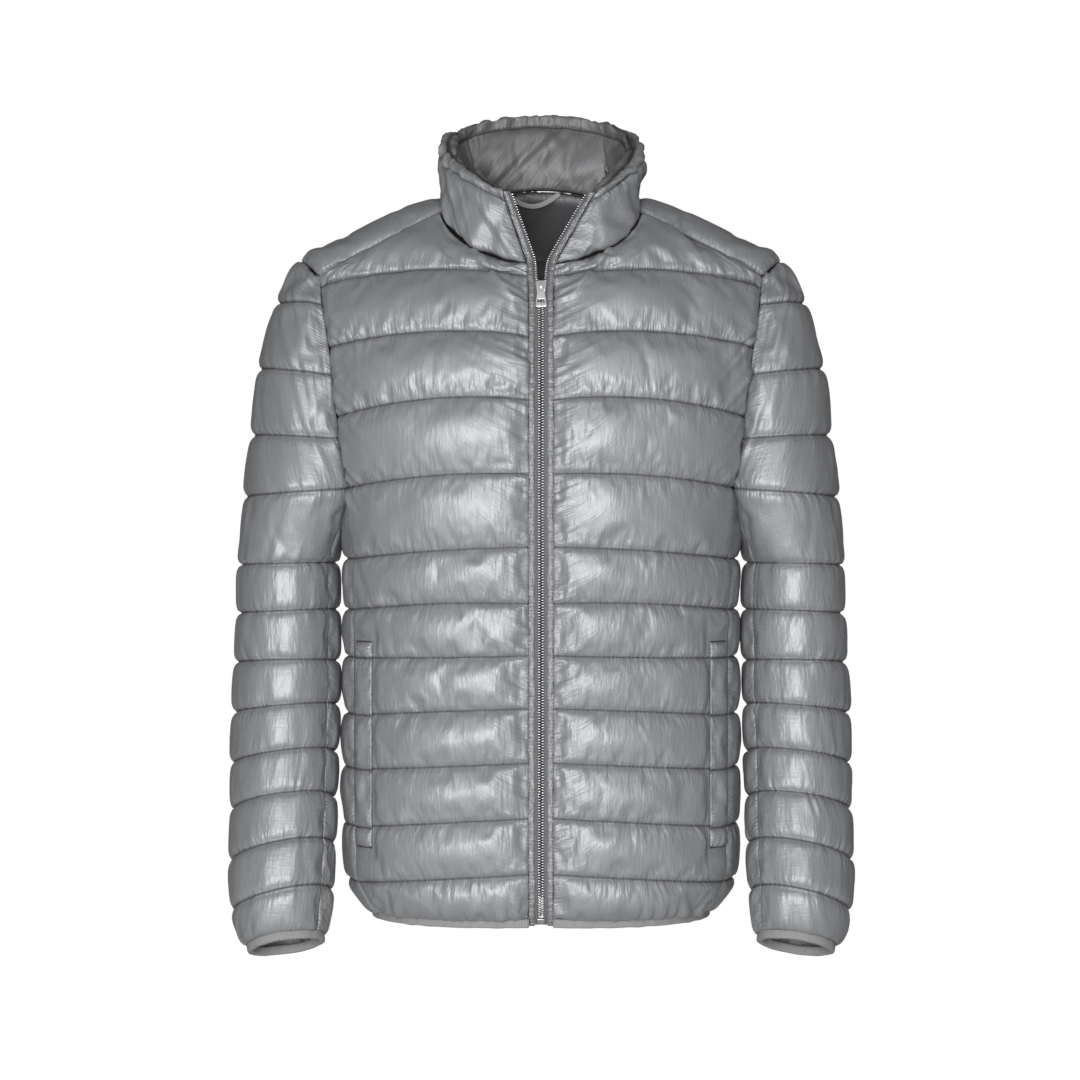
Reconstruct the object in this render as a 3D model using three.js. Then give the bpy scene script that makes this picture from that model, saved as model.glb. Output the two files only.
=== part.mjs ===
import * as THREE from "three";

// A light down jacket with a stand collar, as it hangs filled out with nobody in it.
// Millimetres, +Z up, the front faces -Y, and -X is the left side of the front view.
// The origin is midway between the points where the shoulder ridges meet the collar.

const SEAM_GAP = 0.3; // between two pieces that are sewn together
const WALL = 3; // shell, lining and what filling is left at a line of stitches
const PUFF = 9; // a baffle stands this far proud of its stitch lines
const SIDE_PUFF = 6; // less under the arm, where sleeve and body press together
const PUFF_ROWS = [1 / 3, 2 / 3]; // rows of raised points in each baffle
const GATHER = 2.2; // depth of the gathers that the hem and cuff elastic makes

// Body, at the stitch lines: half width, and depth in front of and behind the origin
const BODY = [
  { z: -713, half: 158, front: 116, back: 108 },
  { z: -694, half: 176, front: 127, back: 117 },
  { z: -668, half: 189, front: 133, back: 121 },
  { z: -600, half: 191, front: 136, back: 121 },
  { z: -480, half: 190, front: 134, back: 117 },
  { z: -380, half: 190, front: 137, back: 117 },
  { z: -290, half: 200, front: 141, back: 121 },
  { z: -230, half: 214, front: 142, back: 123 },
  { z: -154, half: 232, front: 142, back: 123 },
  { z: -61, half: 256, front: 142, back: 123 },
  { z: 40, half: 268, front: 142, back: 123 },
];
const BODY_ROUND = 2.5; // exponent of the body's rounded oblong section

// Shoulders: a ridge that slopes down from the collar, rounded off to front and back
const SHOULDER_X = 100;
const SHOULDER_SLOPE = 0.436;
const SHOULDER_TIP_X = 219;
const SHOULDER_TIP_OUT = 21; // the ridge ends this much further out than the seams beside it
const YOKE_DROP = { neck: 15, tip: 27 }; // yoke seams lie this far below the ridge
const YOKE_STITCHES = [140, 195]; // x of the lines of stitches across the yoke
const YOKE_PUFF = 5;

// Neck seam
const NECK_FRONT_Z = -72;
const NECK_FRONT_ROUND = 1.85;
const NECK_FRONT_X = 98; // where the front seam of the yoke meets the neck seam
const NECK_BACK_Z = 14;
const NECK_BACK_X = 86;

// Quilt lines of a front: height at the zip, halfway and at the outer edge, with that edge's x
const FRONT_LINES = [
  { zip: -84, middle: -78, edge: -91, x: 218 },
  { zip: -144, middle: -140, edge: -152, x: 207.5 },
  { zip: -206, middle: -205, edge: -220, x: 199.5 },
  { zip: -277, middle: -278, edge: -289, x: 188 },
  { zip: -347, middle: -350, edge: -358, x: 181.5 },
  { zip: -401, middle: -401, edge: -408, x: 181 },
  { zip: -451, middle: -453, edge: -455, x: 181 },
  { zip: -502, middle: -505, edge: -511, x: 181 },
  { zip: -554, middle: -558, edge: -564, x: 180.5 },
  { zip: -607, middle: -612, edge: -620, x: 180 },
  { zip: -661, middle: -666, edge: -674, x: 177 },
  { zip: -706, middle: -707, edge: -706, x: 152 },
];
const UNDERARM_LINE = 4; // the fourth quilt line of a front ends under the arm

// Quilt lines of the back above the underarm; below it they run on from the side panels
const BACK_LINES = [
  { middle: -52, edge: -97, x: 217 },
  { middle: -112, edge: -138, x: 210.5 },
  { middle: -173, edge: -186, x: 204 },
  { middle: -234, edge: -237, x: 196.5 },
  { middle: -291, edge: -289, x: 188 },
];
const UNDERARM_DIP = 10;

// Sleeve cap: where each quilt line meets the armhole, its outermost point and its turn
const CAP = [
  { armhole: -108, out: 259, top: -105, turn: 95 },
  { armhole: -179, out: 277, top: -170, turn: 105 },
  { armhole: -241, out: 284, top: -236, turn: 116 },
  { armhole: -289, out: 291, top: -297, turn: 132 },
];
const CAP_TOP_TURN = 82;

// Sleeve below the underarm, a line of stitches a row: centre, half sizes, heights of the
// outer and inner ends, and how much higher the front is than the middle
const TUBE = [
  { x: 252, y: 0, across: 44, deep: 66, outer: -365, inner: -362, rise: 1 },
  { x: 252, y: -2, across: 45, deep: 64, outer: -413, inner: -409, rise: 2 },
  { x: 253, y: -5, across: 46, deep: 62, outer: -462, inner: -460, rise: 4 },
  { x: 254, y: -10, across: 47, deep: 59, outer: -512, inner: -503, rise: 6 },
  { x: 255, y: -18, across: 46.5, deep: 56, outer: -562, inner: -549, rise: 10 },
  { x: 255, y: -28, across: 46, deep: 53, outer: -607, inner: -593, rise: 13 },
  { x: 255, y: -42, across: 46, deep: 51, outer: -657, inner: -638, rise: 15 },
  { x: 254, y: -58, across: 44, deep: 47, outer: -703, inner: -682, rise: 15 },
  { x: 250, y: -67, across: 35, deep: 35, outer: -737, inner: -726, rise: 11 },
];
const SEAM_TURN = { front: 150, back: 125 }; // sleeve seams, degrees round from the outermost line

// Collar: its rim, from the left front corner round the back to the right one
const RIM = [
  { x: -40, y: -85, z: 2 },
  { x: -70, y: -64, z: 22 },
  { x: -98, y: -18, z: 50 },
  { x: -80, y: 37, z: 78 },
  { x: 0, y: 62, z: 91 },
  { x: 80, y: 37, z: 78 },
  { x: 98, y: -18, z: 50 },
  { x: 80, y: -60, z: 22 },
  { x: 56, y: -78, z: 2 },
];
const COLLAR_THICK = 11.3; // outer face to inner face, at the stitches
const COLLAR_LAYER = 4.4; // thickness of the outer and of the inner layer, at the stitches
const COLLAR_PROFILE = [
  // down from the rim: share of the collar's height, and how far it is raised
  { down: 0.03, raised: 3 },
  { down: 0.09, raised: 3.5 },
  { down: 0.16, raised: 0.5 },
  { down: 0.32, raised: 4 },
  { down: 0.6, raised: 4.5 },
  { down: 0.86, raised: 2.5 },
];

// Zip
const CHAIN_WIDTH = 9;
const CHAIN_THICK = 2.4;
const CHAIN_DEEP = 1.4; // the middle of the chain lies this far in from the stitch lines
const CHAIN_BOTTOM_Z = -704;
const TAPE_EDGE = 11.7; // the puffed fronts start this far from the middle
const TAPE_WIDTH = 6.6;
const TAPE_THICK = 1.2;
const TAPE_GAP = 0.5;
const TAPE_BOTTOM_Z = -712;
const TEETH_WIDTH = 2.4;
const NECK_OPEN = 14; // half the gap between the fronts at the neck seam
const BOX = { width: 8, height: 7, thick: 3.2 };

// Slider and its pull, measured on the zip's own slope: out from it and down along it
const SLIDER_Z = -95;
const SLIDER = { length: 13, front: 10.6, back: 10, plate: 1.6, post: 2.6, gap: 0.3 };
const ARCH = { width: 2.4, inner: 1.4, outer: 2.6, down: 1.5, leg: 0.8 };
const PULL = { thick: 1.4, top: 3.8, bottom: 5.5, length: 22, corner: 1.5, lean: 2.5 };
const PULL_EYE = { half: 1.8, from: 0.7, to: 3.2 };
const PULL_WINDOW = { half: 3.5, from: 13.4, to: 17.3 };

// Bindings, welts and loop
const BINDING_HEIGHT = 7;
const BINDING_THICK = 4.4;
const WELT = { top: -438, bottom: -640, inner: 161.5, outer: 177.5, thick: 4, edge: 1.6, gap: 0.8, flat: 20 };
const LOOP = { left: -34, right: 19, sag: 14, width: 5, thick: 1.2, forward: 4 };

const NYLON = { color: 0x9b9b9c, roughness: 0.42, metalness: 0.25 };
const LINING = { color: 0x858586, roughness: 0.45, metalness: 0.2 };
const BINDING = { color: 0xa5a3a3, roughness: 0.7, metalness: 0 };
const TAPE = { color: 0x8d8d8e, roughness: 0.8, metalness: 0 };
const TEETH = { color: 0x4a4a4c, roughness: 0.4, metalness: 0.6 };
const STEEL = { color: 0xd4d5d7, roughness: 0.22, metalness: 1 };

const { lerp, clamp, degToRad } = THREE.MathUtils;
const jacket = new THREE.Group();

function vec(x, y, z) {
  return new THREE.Vector3(x, y, z);
}

function addPiece(name, geometry, finish) {
  const mesh = new THREE.Mesh(geometry, new THREE.MeshStandardMaterial(finish));
  mesh.name = name;
  jacket.add(mesh);
  return mesh;
}

// A smooth function through the values that a table's rows give in one of its columns.
function smoothColumn(rows, at, key) {
  const sorted = [...rows].sort((p, q) => p[at] - q[at]);
  const last = sorted.length - 1;
  const steps = sorted.slice(1).map((row, i) => (row[key] - sorted[i][key]) / (row[at] - sorted[i][at]));
  const slopes = sorted.map((row, i) => {
    if (i === 0) return steps[0];
    if (i === last) return steps[last - 1];
    const product = steps[i - 1] * steps[i];
    return product > 0 ? (2 * product) / (steps[i - 1] + steps[i]) : 0;
  });
  return (value) => {
    const t = clamp(value, sorted[0][at], sorted[last][at]);
    let i = 0;
    while (i < last - 1 && sorted[i + 1][at] < t) i++;
    const span = sorted[i + 1][at] - sorted[i][at];
    const s = (t - sorted[i][at]) / span;
    const rise = sorted[i + 1][key] - sorted[i][key];
    const bend = slopes[i] * span * s * (1 - s) ** 2 - slopes[i + 1] * span * s ** 2 * (1 - s);
    return sorted[i][key] + rise * s * s * (3 - 2 * s) + bend;
  };
}

const bodyHalf = smoothColumn(BODY, "z", "half");
const FRONT = { side: -1, depth: smoothColumn(BODY, "z", "front"), start: -230, round: 1.5, rise: 20 };
const BACK = { side: 1, depth: smoothColumn(BODY, "z", "back"), start: -200, round: 2, rise: 35 };

// Height of the shoulder ridge, which runs on as a low arch across the neck.
function ridgeZ(x, face) {
  const out = Math.abs(x) - SHOULDER_X;
  return out > 0 ? -SHOULDER_SLOPE * out : face.rise * (1 - (x / SHOULDER_X) ** 2);
}

function widthShare(x, z) {
  const t = Math.min(Math.abs(x) / bodyHalf(z), 1);
  return (1 - t ** BODY_ROUND) ** (1 / BODY_ROUND);
}

function bodyPoint(x, z, face) {
  const up = clamp((z - face.start) / (ridgeZ(x, face) - face.start), 0, 1);
  const shoulder = (1 - up ** face.round) ** (1 / face.round);
  return vec(x, face.side * face.depth(z) * widthShare(x, z) * shoulder, z);
}

// Outward direction of the body's surface, from the slope of its level function.
function bodyNormal(p) {
  const face = p.y < 0 ? FRONT : BACK;
  const onShoulder = p.z > face.start;
  const level = (x, y, z) => {
    const depth = Math.abs(y) / face.depth(z);
    if (!onShoulder) return (Math.abs(x) / bodyHalf(z)) ** BODY_ROUND + depth ** BODY_ROUND;
    const up = Math.max((z - face.start) / (ridgeZ(x, face) - face.start), 0);
    return (depth / widthShare(x, z)) ** face.round + up ** face.round;
  };
  const step = 0.5;
  return vec(
    level(p.x + step, p.y, p.z) - level(p.x - step, p.y, p.z),
    level(p.x, p.y + step, p.z) - level(p.x, p.y - step, p.z),
    level(p.x, p.y, p.z + step) - level(p.x, p.y, p.z - step),
  ).normalize();
}

function bodyEdge(p) {
  return { p, n: bodyNormal(p) };
}

function yokeDrop(x) {
  const share = (Math.abs(x) - NECK_FRONT_X) / (SHOULDER_TIP_X - NECK_FRONT_X);
  return lerp(YOKE_DROP.neck, YOKE_DROP.tip, Math.max(share, 0));
}

// A point of the yoke: across is 0 at the neck and 1 at the armhole, over is -1 at the front
// seam, 0 on the ridge and 1 at the back seam.
function yokePoint(across, over) {
  const face = over < 0 ? FRONT : BACK;
  const turn = Math.abs(over);
  const neckX = over < 0 ? NECK_FRONT_X : lerp(NECK_FRONT_X, NECK_BACK_X, turn ** 1.5);
  const tipX = SHOULDER_TIP_X + SHOULDER_TIP_OUT * (1 - turn ** 1.6);
  const x = lerp(neckX, tipX, across);
  const ridge = ridgeZ(x, face);
  const seam = (ridge - yokeDrop(x) - face.start) / (ridge - face.start);
  const angle = Math.acos(seam ** (face.round / 2)) * turn;
  const z = face.start + (ridge - face.start) * Math.cos(angle) ** (2 / face.round);
  const y = face.side * face.depth(z) * widthShare(x, z) * Math.sin(angle) ** (2 / face.round);
  return vec(-x, y, z);
}

function frontTopPoint(x) {
  if (x >= NECK_FRONT_X) return bodyPoint(-x, ridgeZ(x, FRONT) - yokeDrop(x), FRONT);
  const edge = yokePoint(0, -1).z;
  const reach = 1 - (x / (NECK_FRONT_X + 0.001)) ** NECK_FRONT_ROUND;
  const z = edge + (NECK_FRONT_Z - edge) * reach ** (1 / NECK_FRONT_ROUND);
  return bodyPoint(-x, z, FRONT);
}

function backTopPoint(x) {
  const out = Math.abs(x);
  if (out >= NECK_BACK_X) return bodyPoint(x, ridgeZ(x, BACK) - yokeDrop(x), BACK);
  const edge = yokePoint(0, 1).z;
  return bodyPoint(x, lerp(NECK_BACK_Z, edge, (out / NECK_BACK_X) ** 2), BACK);
}

function zipEdgeX(z) {
  const open = clamp((z - SLIDER_Z) / (NECK_FRONT_Z - SLIDER_Z), 0, 1);
  return lerp(TAPE_EDGE, NECK_OPEN, open);
}

// A front's quilt line k at the share u of the way from zip to outer edge; line 0 is the top edge.
function frontLine(k, u) {
  if (k === 0) {
    const top = frontTopPoint(lerp(NECK_OPEN, SHOULDER_TIP_X, u));
    return { x: -top.x, z: top.z };
  }
  const line = FRONT_LINES[k - 1];
  const arch = line.middle - (line.zip + line.edge) / 2;
  const z = lerp(line.zip, line.edge, u) + arch * 4 * u * (1 - u);
  return { x: lerp(zipEdgeX(line.zip), line.x, u), z };
}

function between(lineAt, v, u) {
  const k = Math.floor(v + 1e-9);
  const share = v - k;
  const above = lineAt(k, u);
  if (share < 1e-6) return above;
  const below = lineAt(k + 1, u);
  return { x: lerp(above.x, below.x, share), z: lerp(above.z, below.z, share) };
}

function frontPoint(u, v) {
  const spot = between(frontLine, v, u);
  return bodyPoint(-spot.x, spot.z, FRONT);
}

const backRows = [
  ...BACK_LINES,
  ...FRONT_LINES.slice(UNDERARM_LINE).map((line) => ({ middle: line.edge + 4, edge: line.edge, x: line.x })),
];

function backLine(k, u) {
  const side = 2 * u - 1;
  if (k === 0) {
    const top = backTopPoint(side * SHOULDER_TIP_X);
    return { x: top.x, z: top.z };
  }
  const line = backRows[k - 1];
  return { x: side * line.x, z: lerp(line.middle, line.edge, side * side) };
}

function backPoint(u, v) {
  const spot = between(backLine, v, u);
  return bodyPoint(spot.x, spot.z, BACK);
}

const FRONT_BLOCKS = FRONT_LINES.length;
const BACK_BLOCKS = backRows.length;
const BACK_UNDERARM = BACK_LINES.length;

// A side panel: u runs from the front seam to the back seam, v counts the front's quilt lines.
function sidePoint(u, v) {
  const front = frontPoint(1, v);
  const back = backPoint(0, v - UNDERARM_LINE + BACK_UNDERARM);
  const dip = UNDERARM_DIP * Math.max(1 - (v - UNDERARM_LINE), 0) * 4 * u * (1 - u);
  const z = lerp(front.z, back.z, u) - dip;
  const y = lerp(front.y, back.y, u);
  const depth = Math.abs(y) / (y < 0 ? FRONT : BACK).depth(z);
  return vec(-bodyHalf(z) * (1 - depth ** BODY_ROUND) ** (1 / BODY_ROUND), y, z);
}

function shares(count) {
  return Array.from({ length: count + 1 }, (_, i) => i / count);
}

// Rows of a quilted piece: the lines of stitches with the raised rows between them.
function rowsBetween(first, last) {
  const rows = [first];
  for (let k = first; k < last; k++) rows.push(...PUFF_ROWS.map((share) => k + share), k + 1);
  return rows;
}

// Armhole, up the front and down the back, with the direction that the seam's edge faces.
const ARMHOLE_CORE = vec(-235, 0, -190);
const UNDERARM_Z = -285;
const UNDERARM_DOWN = 2; // below that height sleeve and side hang side by side, and it faces down

function armholeEdge(p) {
  const away = p.clone().sub(ARMHOLE_CORE).normalize();
  if (p.z < UNDERARM_Z) away.z -= UNDERARM_DOWN;
  return { p, n: bodyNormal(p).add(away).normalize() };
}

const YOKE_TURNS = [-1, -0.66, -0.33, 0, 0.33, 0.66, 1];
const UNDERARM_SHARES = shares(6);
const armholeFront = rowsBetween(0, UNDERARM_LINE).map((v) => armholeEdge(frontPoint(1, v)));
const armholeBack = rowsBetween(0, BACK_UNDERARM).map((v) => armholeEdge(backPoint(0, v)));
const armholeTop = YOKE_TURNS.map((over) => armholeEdge(yokePoint(1, over)));
const armholeUnder = UNDERARM_SHARES.map((u) => armholeEdge(sidePoint(u, UNDERARM_LINE)));
armholeTop[0] = armholeFront[0];
armholeTop[armholeTop.length - 1] = armholeBack[0];
armholeUnder[0] = armholeFront[armholeFront.length - 1];
armholeUnder[armholeUnder.length - 1] = armholeBack[armholeBack.length - 1];

function alongAtHeight(points, z) {
  for (let i = 1; i < points.length; i++) {
    if (points[i].p.z > z && i < points.length - 1) continue;
    const above = points[i - 1].p;
    const share = clamp((above.z - z) / (above.z - points[i].p.z), 0, 1);
    return above.clone().lerp(points[i].p, share);
  }
  return points[0].p.clone();
}

// The ellipse through a front point, an outermost point and a back point, at their turns.
function ellipseThrough(front, out, back, frontTurn, backTurn) {
  const f = degToRad(frontTurn);
  const b = degToRad(backTurn);
  const restFront = front.clone().addScaledVector(out, -Math.cos(f));
  const restBack = back.clone().addScaledVector(out, -Math.cos(b));
  const whole = (1 - Math.cos(f)) * Math.sin(b) + (1 - Math.cos(b)) * Math.sin(f);
  const centre = restFront.clone().multiplyScalar(Math.sin(b)).addScaledVector(restBack, Math.sin(f));
  const deep = restBack.clone().multiplyScalar(1 - Math.cos(f)).addScaledVector(restFront, Math.cos(b) - 1);
  centre.divideScalar(whole);
  return { centre, across: out.clone().sub(centre), deep: deep.divideScalar(whole), front: f, back: b };
}

function tubeRow(row) {
  return {
    centre: vec(-row.x, row.y, (row.outer + row.inner) / 2),
    across: vec(-row.across, 0, (row.outer - row.inner) / 2),
    deep: vec(0, row.deep, -row.rise),
    front: degToRad(SEAM_TURN.front),
    back: degToRad(SEAM_TURN.back),
  };
}

function onEllipse(row, angle) {
  return row.centre
    .clone()
    .addScaledVector(row.across, Math.cos(angle))
    .addScaledVector(row.deep, Math.sin(angle));
}

const sleeveRows = [
  ellipseThrough(armholeFront[0].p, yokePoint(1, 0), armholeBack[0].p, CAP_TOP_TURN, CAP_TOP_TURN),
  ...CAP.map((row) =>
    ellipseThrough(
      alongAtHeight(armholeFront, row.armhole),
      vec(-row.out, 0, row.top),
      alongAtHeight(armholeBack, row.armhole),
      row.turn,
      row.turn,
    ),
  ),
  ...TUBE.map(tubeRow),
];
const CAP_LINES = CAP.length;
const SLEEVE_BLOCKS = sleeveRows.length - 1;

function onSleeve(v, pointOfRow) {
  const k = Math.min(Math.floor(v + 1e-9), SLEEVE_BLOCKS - 1);
  return pointOfRow(k).lerp(pointOfRow(k + 1), v - k);
}

// The main sleeve piece: u runs from its front seam over the outside to its back seam.
function sleevePoint(u, v) {
  return onSleeve(v, (k) => onEllipse(sleeveRows[k], lerp(-sleeveRows[k].front, sleeveRows[k].back, u)));
}

// The under-sleeve: u runs from the same front seam round the inside to the back seam.
function underPoint(u, v) {
  return onSleeve(v, (k) => {
    if (k === CAP_LINES) return sidePoint(u, UNDERARM_LINE);
    const row = sleeveRows[k];
    return onEllipse(row, lerp(-row.front, row.back - 2 * Math.PI, u));
  });
}

function sleeveCore(v) {
  return onSleeve(v, (k) => sleeveRows[k].centre.clone());
}

function sleeveEdge(pointAt, u, v) {
  const p = pointAt(u, v);
  return { p, n: p.clone().sub(sleeveCore(v)).normalize() };
}

// Triangles between two rows of points that may have different numbers of points.
function bridgeRows(upper, lower, points) {
  const shareOf = (ids) => {
    const lengths = [0];
    for (let i = 1; i < ids.length; i++) {
      lengths.push(lengths[i - 1] + points[ids[i]].distanceTo(points[ids[i - 1]]));
    }
    return lengths.map((length) => length / lengths[lengths.length - 1]);
  };
  const upperShare = shareOf(upper);
  const lowerShare = shareOf(lower);
  const triangles = [];
  let i = 0;
  let j = 0;
  while (i < upper.length - 1 || j < lower.length - 1) {
    const upperDone = i === upper.length - 1;
    const lowerDone = j === lower.length - 1;
    if (lowerDone || (!upperDone && upperShare[i + 1] <= lowerShare[j + 1])) {
      triangles.push([upper[i], lower[j], upper[i + 1]]);
      i++;
    } else {
      triangles.push([upper[i], lower[j], lower[j + 1]]);
      j++;
    }
  }
  return triangles;
}

function toGeometry(points, triangles) {
  let volume = 0;
  for (const [a, b, c] of triangles) {
    volume += points[a].dot(points[b].clone().cross(points[c]));
  }
  const index = triangles.flatMap(([a, b, c]) => (volume > 0 ? [a, b, c] : [a, c, b]));
  const geometry = new THREE.BufferGeometry().setFromPoints(points);
  geometry.setIndex(index);
  geometry.computeVertexNormals();
  return geometry;
}

// Moves each point of a closed seam line into its piece by half the gap between two pieces.
function insetLoop(loop, hand) {
  return loop.map(({ p, n }, i) => {
    const before = loop[(i + loop.length - 1) % loop.length].p;
    const after = loop[(i + 1) % loop.length].p;
    const inA = p.clone().sub(before).cross(n).multiplyScalar(hand).normalize();
    const inB = after.clone().sub(p).cross(n).multiplyScalar(hand).normalize();
    const mitre = Math.max(1 + inA.dot(inB), 0.4);
    return p.clone().addScaledVector(inA.add(inB), SEAM_GAP / 2 / mitre);
  });
}

// One cut piece as a wall: raised points outside, plain inside, sewn along four edges.
// The edges hold a point p and the outward direction n, both shared with the next piece.
function quiltedPiece({ at, core, us, vs, plainVs, raise, edges, thick = WALL }) {
  const [top, right, bottom, left] = edges;
  const last = (list) => list[list.length - 1];
  const step = 0.02;
  const directionAt = (u, v, p) => {
    const du = at(u + step, v).sub(at(u - step, v));
    const dv = at(u, v + step).sub(at(u, v - step));
    const n = du.cross(dv).normalize();
    return n.dot(p.clone().sub(core(u, v))) < 0 ? n.negate() : n;
  };
  const loop = [
    ...top.slice(0, -1),
    ...right.slice(0, -1),
    ...[...bottom].reverse().slice(0, -1),
    ...[...left].reverse().slice(0, -1),
  ];
  const midU = us[Math.floor(us.length / 2)];
  const midV = vs[Math.floor(vs.length / 2)];
  const middle = at(midU, midV);
  const across = at(midU + step, midV).sub(middle);
  const down = at(midU, midV + step).sub(middle);
  const hand = Math.sign(down.cross(across).dot(directionAt(midU, midV, middle)));
  const points = [];
  const triangles = [];
  const addPoint = (p) => points.push(p) - 1;
  const edgePoints = insetLoop(loop, hand);
  const outerLoop = edgePoints.map(addPoint);
  const innerLoop = edgePoints.map((p, i) => addPoint(p.clone().addScaledVector(loop[i].n, -thick)));

  const surface = (rows, offset, loopIds, turned) => {
    const grid = rows.map((v) =>
      us.map((u) => {
        const p = at(u, v);
        return addPoint(p.clone().addScaledVector(directionAt(u, v, p), offset(u, v)));
      }),
    );
    const found = [];
    for (let r = 0; r < grid.length - 1; r++) {
      for (let c = 0; c < us.length - 1; c++) {
        const [a, b] = [grid[r][c], grid[r][c + 1]];
        const [d, e] = [grid[r + 1][c], grid[r + 1][c + 1]];
        found.push([a, d, e], [a, e, b]);
      }
    }
    const ends = [top.length - 1, right.length - 1, bottom.length - 1, left.length - 1];
    const corners = [0, ends[0], ends[0] + ends[1], ends[0] + ends[1] + ends[2]];
    const stretch = (from, count) =>
      Array.from({ length: count + 1 }, (_, i) => loopIds[(from + i) % loopIds.length]);
    const firstColumn = grid.map((row) => row[0]);
    const lastColumn = grid.map((row) => last(row));
    found.push(
      ...bridgeRows(stretch(corners[0], ends[0]), grid[0], points),
      ...bridgeRows(stretch(corners[1], ends[1]), lastColumn, points),
      ...bridgeRows(stretch(corners[2], ends[2]), [...last(grid)].reverse(), points),
      ...bridgeRows(stretch(corners[3], ends[3]), [...firstColumn].reverse(), points),
    );
    triangles.push(...found.map(([a, b, c]) => (turned ? [a, c, b] : [a, b, c])));
  };
  surface(vs, raise, outerLoop, false);
  surface(plainVs, () => -thick, innerLoop, true);
  // The next piece cuts each quad of the shared edge along the same diagonal.
  outerLoop.forEach((id, i) => {
    const next = (i + 1) % outerLoop.length;
    const [a, b, c, d] = [id, outerLoop[next], innerLoop[next], innerLoop[i]];
    const fromThis = loop[i].p.z - loop[next].p.z + (loop[i].p.y - loop[next].p.y) / 7 > 0;
    triangles.push(...(fromThis ? [[a, b, c], [a, c, d]] : [[a, b, d], [b, c, d]]));
  });
  return toGeometry(points, triangles);
}

// A solid through a row of matching outlines, either a closed ring or with two flat ends.
function loft(outlines, ring = false) {
  const count = outlines[0].length;
  const points = outlines.flat();
  const triangles = [];
  const spans = ring ? outlines.length : outlines.length - 1;
  for (let r = 0; r < spans; r++) {
    const next = (r + 1) % outlines.length;
    for (let c = 0; c < count; c++) {
      const d = (c + 1) % count;
      const [a, b] = [r * count + c, r * count + d];
      const [e, f] = [next * count + c, next * count + d];
      triangles.push([a, b, f], [a, f, e]);
    }
  }
  if (!ring) {
    const end = (outlines.length - 1) * count;
    for (let c = 1; c < count - 1; c++) {
      triangles.push([0, c + 1, c], [end, end + c, end + c + 1]);
    }
  }
  return toGeometry(points, triangles);
}

// A four-cornered outline: across and out are unit directions with their extents.
function bar(p, across, from, to, out, low, high) {
  const corner = (a, h) => p.clone().addScaledVector(across, a).addScaledVector(out, h);
  return [corner(from, low), corner(to, low), corner(to, high), corner(from, high)];
}

function mirrored(geometry) {
  const copy = geometry.clone();
  copy.scale(-1, 1, 1);
  const index = copy.index.array;
  for (let i = 0; i < index.length; i += 3) {
    [index[i + 1], index[i + 2]] = [index[i + 2], index[i + 1]];
  }
  copy.computeVertexNormals();
  return copy;
}

function addPair(name, geometry, finish) {
  addPiece(`${name}_left`, geometry, finish);
  addPiece(`${name}_right`, mirrored(geometry), finish);
}

// How far a row is raised: nothing on a line of stitches, all of it between two lines.
function rowRaise(v) {
  return Math.abs(v - Math.round(v)) < 1e-6 ? 0 : 1;
}

function gather(u, v, blocks, columns) {
  const wave = Math.round(u * columns) % 2 ? GATHER : -GATHER;
  return v > blocks - 1 && rowRaise(v) ? wave : 0;
}

function innerColumns(count, marginStart, marginEnd) {
  return shares(count).map((share) => lerp(marginStart, 1 - marginEnd, share));
}

const withoutEnds = (rows) => rows.slice(1, -1);
const linesOnly = (first, last) => Array.from({ length: last - first - 1 }, (_, i) => first + 1 + i);
const bodyCore = (p) => vec(0, 0, Math.min(p.z, -120));

const neckFrontXs = [NECK_OPEN, 28, 42, 56, 70, 83, 92, NECK_FRONT_X];
const yokeXs = [NECK_FRONT_X, 118, YOKE_STITCHES[0], 167, YOKE_STITCHES[1], 208, SHOULDER_TIP_X];
const yokeShares = yokeXs.map((x) => (x - NECK_FRONT_X) / (SHOULDER_TIP_X - NECK_FRONT_X));
const neckFront = neckFrontXs.map((x) => bodyEdge(frontTopPoint(x)));
const yokeFrontSeam = yokeShares.map((share) => bodyEdge(yokePoint(share, -1)));
const yokeBackSeam = yokeShares.map((share) => bodyEdge(yokePoint(share, 1)));
yokeFrontSeam[yokeFrontSeam.length - 1] = armholeFront[0];
yokeBackSeam[yokeBackSeam.length - 1] = armholeBack[0];
const neckYoke = YOKE_TURNS.map((over) => bodyEdge(yokePoint(0, over)));
neckYoke[0] = yokeFrontSeam[0];
neckYoke[neckYoke.length - 1] = yokeBackSeam[0];
neckFront[neckFront.length - 1] = yokeFrontSeam[0];

const sideSeamRows = rowsBetween(UNDERARM_LINE, FRONT_BLOCKS);
const sideSeamFront = sideSeamRows.map((v) => bodyEdge(frontPoint(1, v)));
const sideSeamBack = sideSeamRows.map((v) => bodyEdge(backPoint(0, v - UNDERARM_LINE + BACK_UNDERARM)));
sideSeamFront[0] = armholeFront[armholeFront.length - 1];
sideSeamBack[0] = armholeBack[armholeBack.length - 1];

const FRONT_COLUMNS = 11;
const BACK_COLUMNS = 17;
const SLEEVE_COLUMNS = 12;
const UNDER_COLUMNS = 4;
const SIDE_COLUMNS = 4;
const HEM_STEPS = 12;

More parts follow.
